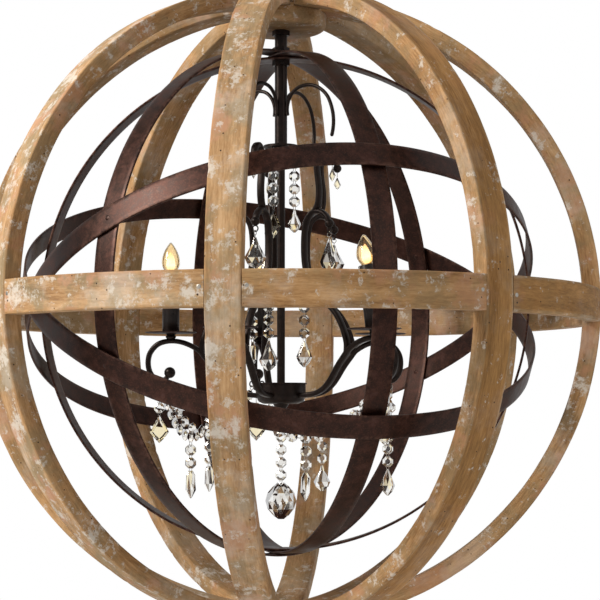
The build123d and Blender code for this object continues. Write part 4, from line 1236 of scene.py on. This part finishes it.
class String:
    """The glass and the wire of one hanging string."""

    def __init__(self, seed):
        self.glass, self.wire, self.rng = Sheet(), Sheet(), random.Random(seed)

    def finish(self, body):
        mesh_piece(f"{body}_stones", self.glass, crystal, body, [body])
        mesh_piece(f"{body}_links", self.wire, link_wire, body, smooth=60)

    def pin(self, place, length):
        """A wire pin that stands on the place's origin."""
        turned(self.wire, rod(PIN_RADIUS, 0, length), place, 8, close=False)

    def ring(self, place):
        """The string's ring, with its top wire just over the hook at the place's origin."""
        wire_ring(self.wire, RING_RADIUS, RING_WIRE, place @ spot((0, 0, -RING_DROP * MM)), 28, 8)

    def link(self, place):
        """A small oval link across the gap under a bead, through the two stones' rims."""
        middle = place @ spot((0, 0, -PIN_LENGTH / 2 * MM))
        wire_ring(self.wire, LINK_RADIUS, LINK_THIN, middle, 16, 6, LINK_STRETCH)

    def beads(self, count, kind, length, width, place):
        """Octagons on links, then the last stone, facing the room."""
        place = place @ spin("Z", FACING)
        for _ in range(count):
            octagon_bead(self.glass, place, self.rng)
            place = place @ spot((0, 0, -OCTAGON_WIDTH * MM))
            self.link(place)
            place = place @ spot((0, 0, -PIN_LENGTH * MM))
        drop_stone(self.glass, kind, length, width, place, self.rng)


def pendant(body, seed, hook, swing, count, kind, length, width, lead=PIN_LENGTH):
    """A string on a ring that hangs in an eye."""
    string = String(seed)
    ring_frame = Matrix.Translation(hook) @ spin("Z", swing - 90.0)
    string.ring(ring_frame)
    below = spot((0, 0, -(RING_DROP + RING_RADIUS + lead) * MM))
    string.pin(ring_frame @ below, lead)
    string.beads(count, kind, length, width, Matrix.Translation(hook) @ below)
    string.finish(body)


CURL_STONE, CENTRE_STONE, CURL_LEAD, INNER_LEAD = ("kite", 39, 27), ("round", 50, 44), 14.0, 16.0
SCROLL_STONES = (("pear", 42, 29), ("almond", 50, 25))
CROWN_STRINGS = ((-22.0, "kite", 41, 20), (75.0, "pear", 32, 18))
CROWN_HOOK_RADIUS, CROWN_HOOK_Z = 20.0, 214.4
INNER_STONES = (("pear", 41, 26), ("almond", 36, 22), ("spear", 36, 11))
CENTRE_HOOK_Z = -160.6
for index, azimuth in enumerate(ARM_AZIMUTHS):
    hook = bearing(azimuth, CURL_RADIUS, CURL_HOOK_Z)
    pendant(f"curl_drop_{index + 1}", 100 + index, hook, azimuth, 1, *CURL_STONE, CURL_LEAD)
    hook = bearing(azimuth, LOWER_LINE[-1][0], SCROLL_HOOK_Z)
    pendant(f"scroll_drop_{index + 1}", 120 + index, hook, azimuth, 0, *SCROLL_STONES[index % 2])
for number, (azimuth, *stone) in enumerate(CROWN_STRINGS, start=1):
    hook = bearing(azimuth, CROWN_HOOK_RADIUS, CROWN_HOOK_Z)
    pendant(f"crown_string_{number}", 140 + number, hook, azimuth + 90, 4, *stone)
for number, (index, stone) in enumerate(zip(PEG_ARMS, INNER_STONES), start=1):
    hook = bearing(ARM_AZIMUTHS[index], INNER_HOOK_RADIUS, INNER_HOOK_Z)
    pendant(f"inner_string_{number}", 150 + number, hook, ARM_AZIMUTHS[index], 3, *stone, INNER_LEAD)
pendant("centre_drop", 160, bearing(0, 0, CENTRE_HOOK_Z), 90.0, 4, *CENTRE_STONE)
print("hanging strings:", 2 * len(ARM_AZIMUTHS) + len(CROWN_STRINGS + INNER_STONES) + 1)

# %% [markdown]
# ## Garlands
#
# A garland hangs from two arms and sags between them. The curve is the CAD part's own: one
# low middle point, and the beads spaced evenly along its length, each turned to the slope.

# %% Garlands of octagons
GARLAND_SAG = 64.0
GARLAND_STONES = (("spear", 37, 14), ("almond", 36, 20), ("pear", 37, 24), ("spear", 37, 14),
                  ("spear", 37, 14))


def sag_line(start, low, end, steps=400):
    """Points along the sag, with the length run so far."""
    shares = [step / steps for step in range(steps + 1)]
    line = [start * (1 - t) ** 2 + low * 2 * t * (1 - t) + end * t * t for t in shares]
    lengths = [0.0]
    for a, b in zip(line, line[1:]):
        lengths.append(lengths[-1] + (b - a).length)
    return line, lengths


def along_sag(line, lengths, share):
    """The place and direction at a share of the sag's length."""
    goal = share * lengths[-1]
    index = next(i for i, run in enumerate(lengths[1:], start=1) if run >= goal)
    part = (goal - lengths[index - 1]) / (lengths[index] - lengths[index - 1])
    return line[index - 1].lerp(line[index], part), (line[index] - line[index - 1]).normalized()


def garland_bead(string, place, way, outward, gap):
    """An octagon turned to the sag's slope, with half of a pin at each end of it."""
    side = way.cross(outward).normalized()
    turn = Matrix((side, way.cross(side), way)).transposed().to_4x4()
    bead_frame = Matrix.Translation(place) @ turn
    octagon_bead(string.glass, bead_frame @ spot((0, 0, OCTAGON_WIDTH / 2 * MM)), string.rng)
    for level in (-OCTAGON_WIDTH / 2 - gap, OCTAGON_WIDTH / 2):
        string.pin(bead_frame @ spot((0, 0, level * MM)), gap)


def garland(index):
    """A garland and the short string at its middle; returns its number of beads."""
    string = String(200 + index)
    start, end, along = garland_ends(index)
    reach = Vector((0, 0, (RING_DROP + RING_RADIUS + RING_WIRE) * MM))
    low = (start + end) / 2 - reach - Vector((0, 0, 2 * GARLAND_SAG * MM))
    line, lengths = sag_line(start - reach, low, end - reach)
    count = 2 * int(lengths[-1] / MM / (OCTAGON_WIDTH + PIN_LENGTH) / 2) + 1
    gap = (lengths[-1] / MM / count - OCTAGON_WIDTH) / 2
    for hook in (start, end):
        string.ring(facing_frame(hook, along) @ spin("Z", 90))
    for bead in range(count):
        place, way = along_sag(line, lengths, (bead + 0.5) / count)
        garland_bead(string, place, way, along.cross(Vector((0, 0, 1))), gap)
    bottom = along_sag(line, lengths, 0.5)[0] - Vector((0, 0, OCTAGON_WIDTH / 2 * MM))
    string.link(Matrix.Translation(bottom))
    string.beads(2, *GARLAND_STONES[index], Matrix.Translation(bottom) @ spot((0, 0, -PIN_LENGTH * MM)))
    string.finish(f"garland_{index + 1}")
    return count


print("garland beads:", [garland(index) for index in range(len(ARM_AZIMUTHS))])

# %% [markdown]
# ## Small drops
#
# A small kite on a pin hangs from each upper scroll's ball. These five don't swing in the CAD
# model, so they stay on the fixed body.

# %% Small drops on the upper scrolls
SMALL_PIN, SMALL_STONE = 6.0, ("kite", 18, 11)
small = String(300)
small_x, small_z = UPPER_LINE[-1][0], UPPER_LINE[-1][1] - SCROLL_BALL - SMALL_PIN
for azimuth in ARM_AZIMUTHS:
    top = at_azimuth(azimuth) @ spot((small_x * MM, 0, small_z * MM))
    small.pin(top, SMALL_PIN + 0.4)
    drop_stone(small.glass, *SMALL_STONE, top, small.rng)
mesh_piece("small_stones", small.glass, crystal, replaces=["small_drops"])
mesh_piece("small_pins", small.wire, link_wire, smooth=60)
print("small drops:", len(ARM_AZIMUTHS))

# %% [markdown]
# ## Camera
#
# The photograph was taken level with the lower half of the globe and cropped high. So the
# camera looks level, and its picture is shifted up instead of tilted.

# %% Camera
CAMERA_AZIMUTH, CAMERA_REACH, CAMERA_HEIGHT = 8.7, 2246.4, -127.4
PHOTO_WIDTH, SHIFT_RIGHT, SHIFT_UP = 600, 19, 102
camera_data = bpy.data.cameras.new("Photo camera")
camera_data.sensor_width, camera_data.lens = 36.0, 97.98
camera_data.shift_x, camera_data.shift_y = SHIFT_RIGHT / PHOTO_WIDTH, SHIFT_UP / PHOTO_WIDTH
camera = bpy.data.objects.new("Photo camera", camera_data)
camera.location = bearing(CAMERA_AZIMUTH, CAMERA_REACH, CAMERA_HEIGHT)
camera.rotation_euler = (math.radians(90), 0, math.radians(CAMERA_AZIMUTH))
bpy.context.scene.collection.objects.link(camera)
bpy.context.scene.camera = camera
print("camera at", [round(v, 3) for v in camera.location])

# %% [markdown]
# ## Studio light
#
# A plain soft studio: one large warm lamp from the left, a weak one from the right, and a white
# room. The room is full white where the camera looks straight at it or through a stone. Its
# light on the pieces is less than half of that. What they mirror is only a little brighter, or
# the dark iron would look grey.

# %% Studio light
# ROOM_MIRRORED is how far a reflection goes from the room's light towards full white.
ROOM_LIGHT, ROOM_MIRRORED = 0.46, 0.25


def soft_lamp(name, place, size, power, colour, aim=(0, 0, GLOBE_CENTRE_Z)):
    lamp = bpy.data.lights.new(name, "AREA")
    lamp.shape, lamp.size = "DISK", size
    lamp.energy, lamp.color = power, colour
    holder = bpy.data.objects.new(name, lamp)
    holder.location = place
    holder.rotation_euler = (Vector(aim) - Vector(place)).to_track_quat("-Z", "Y").to_euler()
    bpy.context.scene.collection.objects.link(holder)


soft_lamp("Key from the left", (-2.7, -1.9, 1.5), 1.8, 158.0, (1.0, 0.93, 0.84))
soft_lamp("Fill from the right", (2.6, -1.6, 0.4), 2.2, 8.0, (1.0, 0.92, 0.82))

room = bpy.data.worlds.new("White room")
room.use_nodes = True
bpy.context.scene.world = room
tree = room.node_tree
rays = node(tree, "LightPath")
seen = calc(tree, "MAXIMUM", rays.outputs["Is Camera Ray"], rays.outputs["Is Transmission Ray"])
seen = calc(tree, "MAXIMUM", seen, times(tree, rays.outputs["Is Glossy Ray"], ROOM_MIRRORED))
background = tree.nodes["Background"]
background.inputs["Color"].default_value = (1, 1, 1, 1)
tree.links.new(spread(tree, seen, ROOM_LIGHT, 1.0), background.inputs["Strength"])
bpy.context.scene.view_settings.view_transform = "Standard"
print("lamps:", len(bpy.data.lights))

# %% [markdown]
# ## Floor
#
# The lamp hangs, so the floor is far below it and out of the photograph's view. It is a wide pale
# disc, staged so that it is never taken for a piece of the lamp.

# %% Floor
FLOOR_Z, FLOOR_RADII, FLOOR_STEPS = -1.75, (0.0001, 0.8, 1.7, 2.5), 64
FLOOR_STOPS = ((0.3, (0.84, 0.835, 0.825)), (0.7, (0.88, 0.875, 0.865)))
floor_points = [(r * c, r * s, FLOOR_Z) for r in FLOOR_RADII for c, s in circle(FLOOR_STEPS)]
floor_mesh = bpy.data.meshes.new("Pale floor")
floor_mesh.from_pydata(floor_points, [], grid(len(FLOOR_RADII), FLOOR_STEPS, flip=True))
pale, floor_tree, floor_shader = new_material("Pale floor", Roughness=0.8)
tone = clouds(floor_tree, place_on_object(floor_tree), 3.0, 0.5)
connect(floor_tree, floor_shader, Base_Color=colour_ramp(floor_tree, tone, FLOOR_STOPS))
floor_mesh.materials.append(pale)
floor_piece = bpy.data.objects.new("Pale floor", floor_mesh)
bpy.context.scene.collection.objects.link(floor_piece)
floor_piece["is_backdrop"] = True
print("floor at", FLOOR_Z, "m")

# %% [markdown]
# ## Sizes, and the end
#
# The sizes of the CAD model and of the dressed lamp are written side by side, so that a piece
# that has grown past its CAD part is easy to notice.

# %% Sizes, and the end
[[list(corner) for corner in box] for box in (CAD_BOX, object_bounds())]
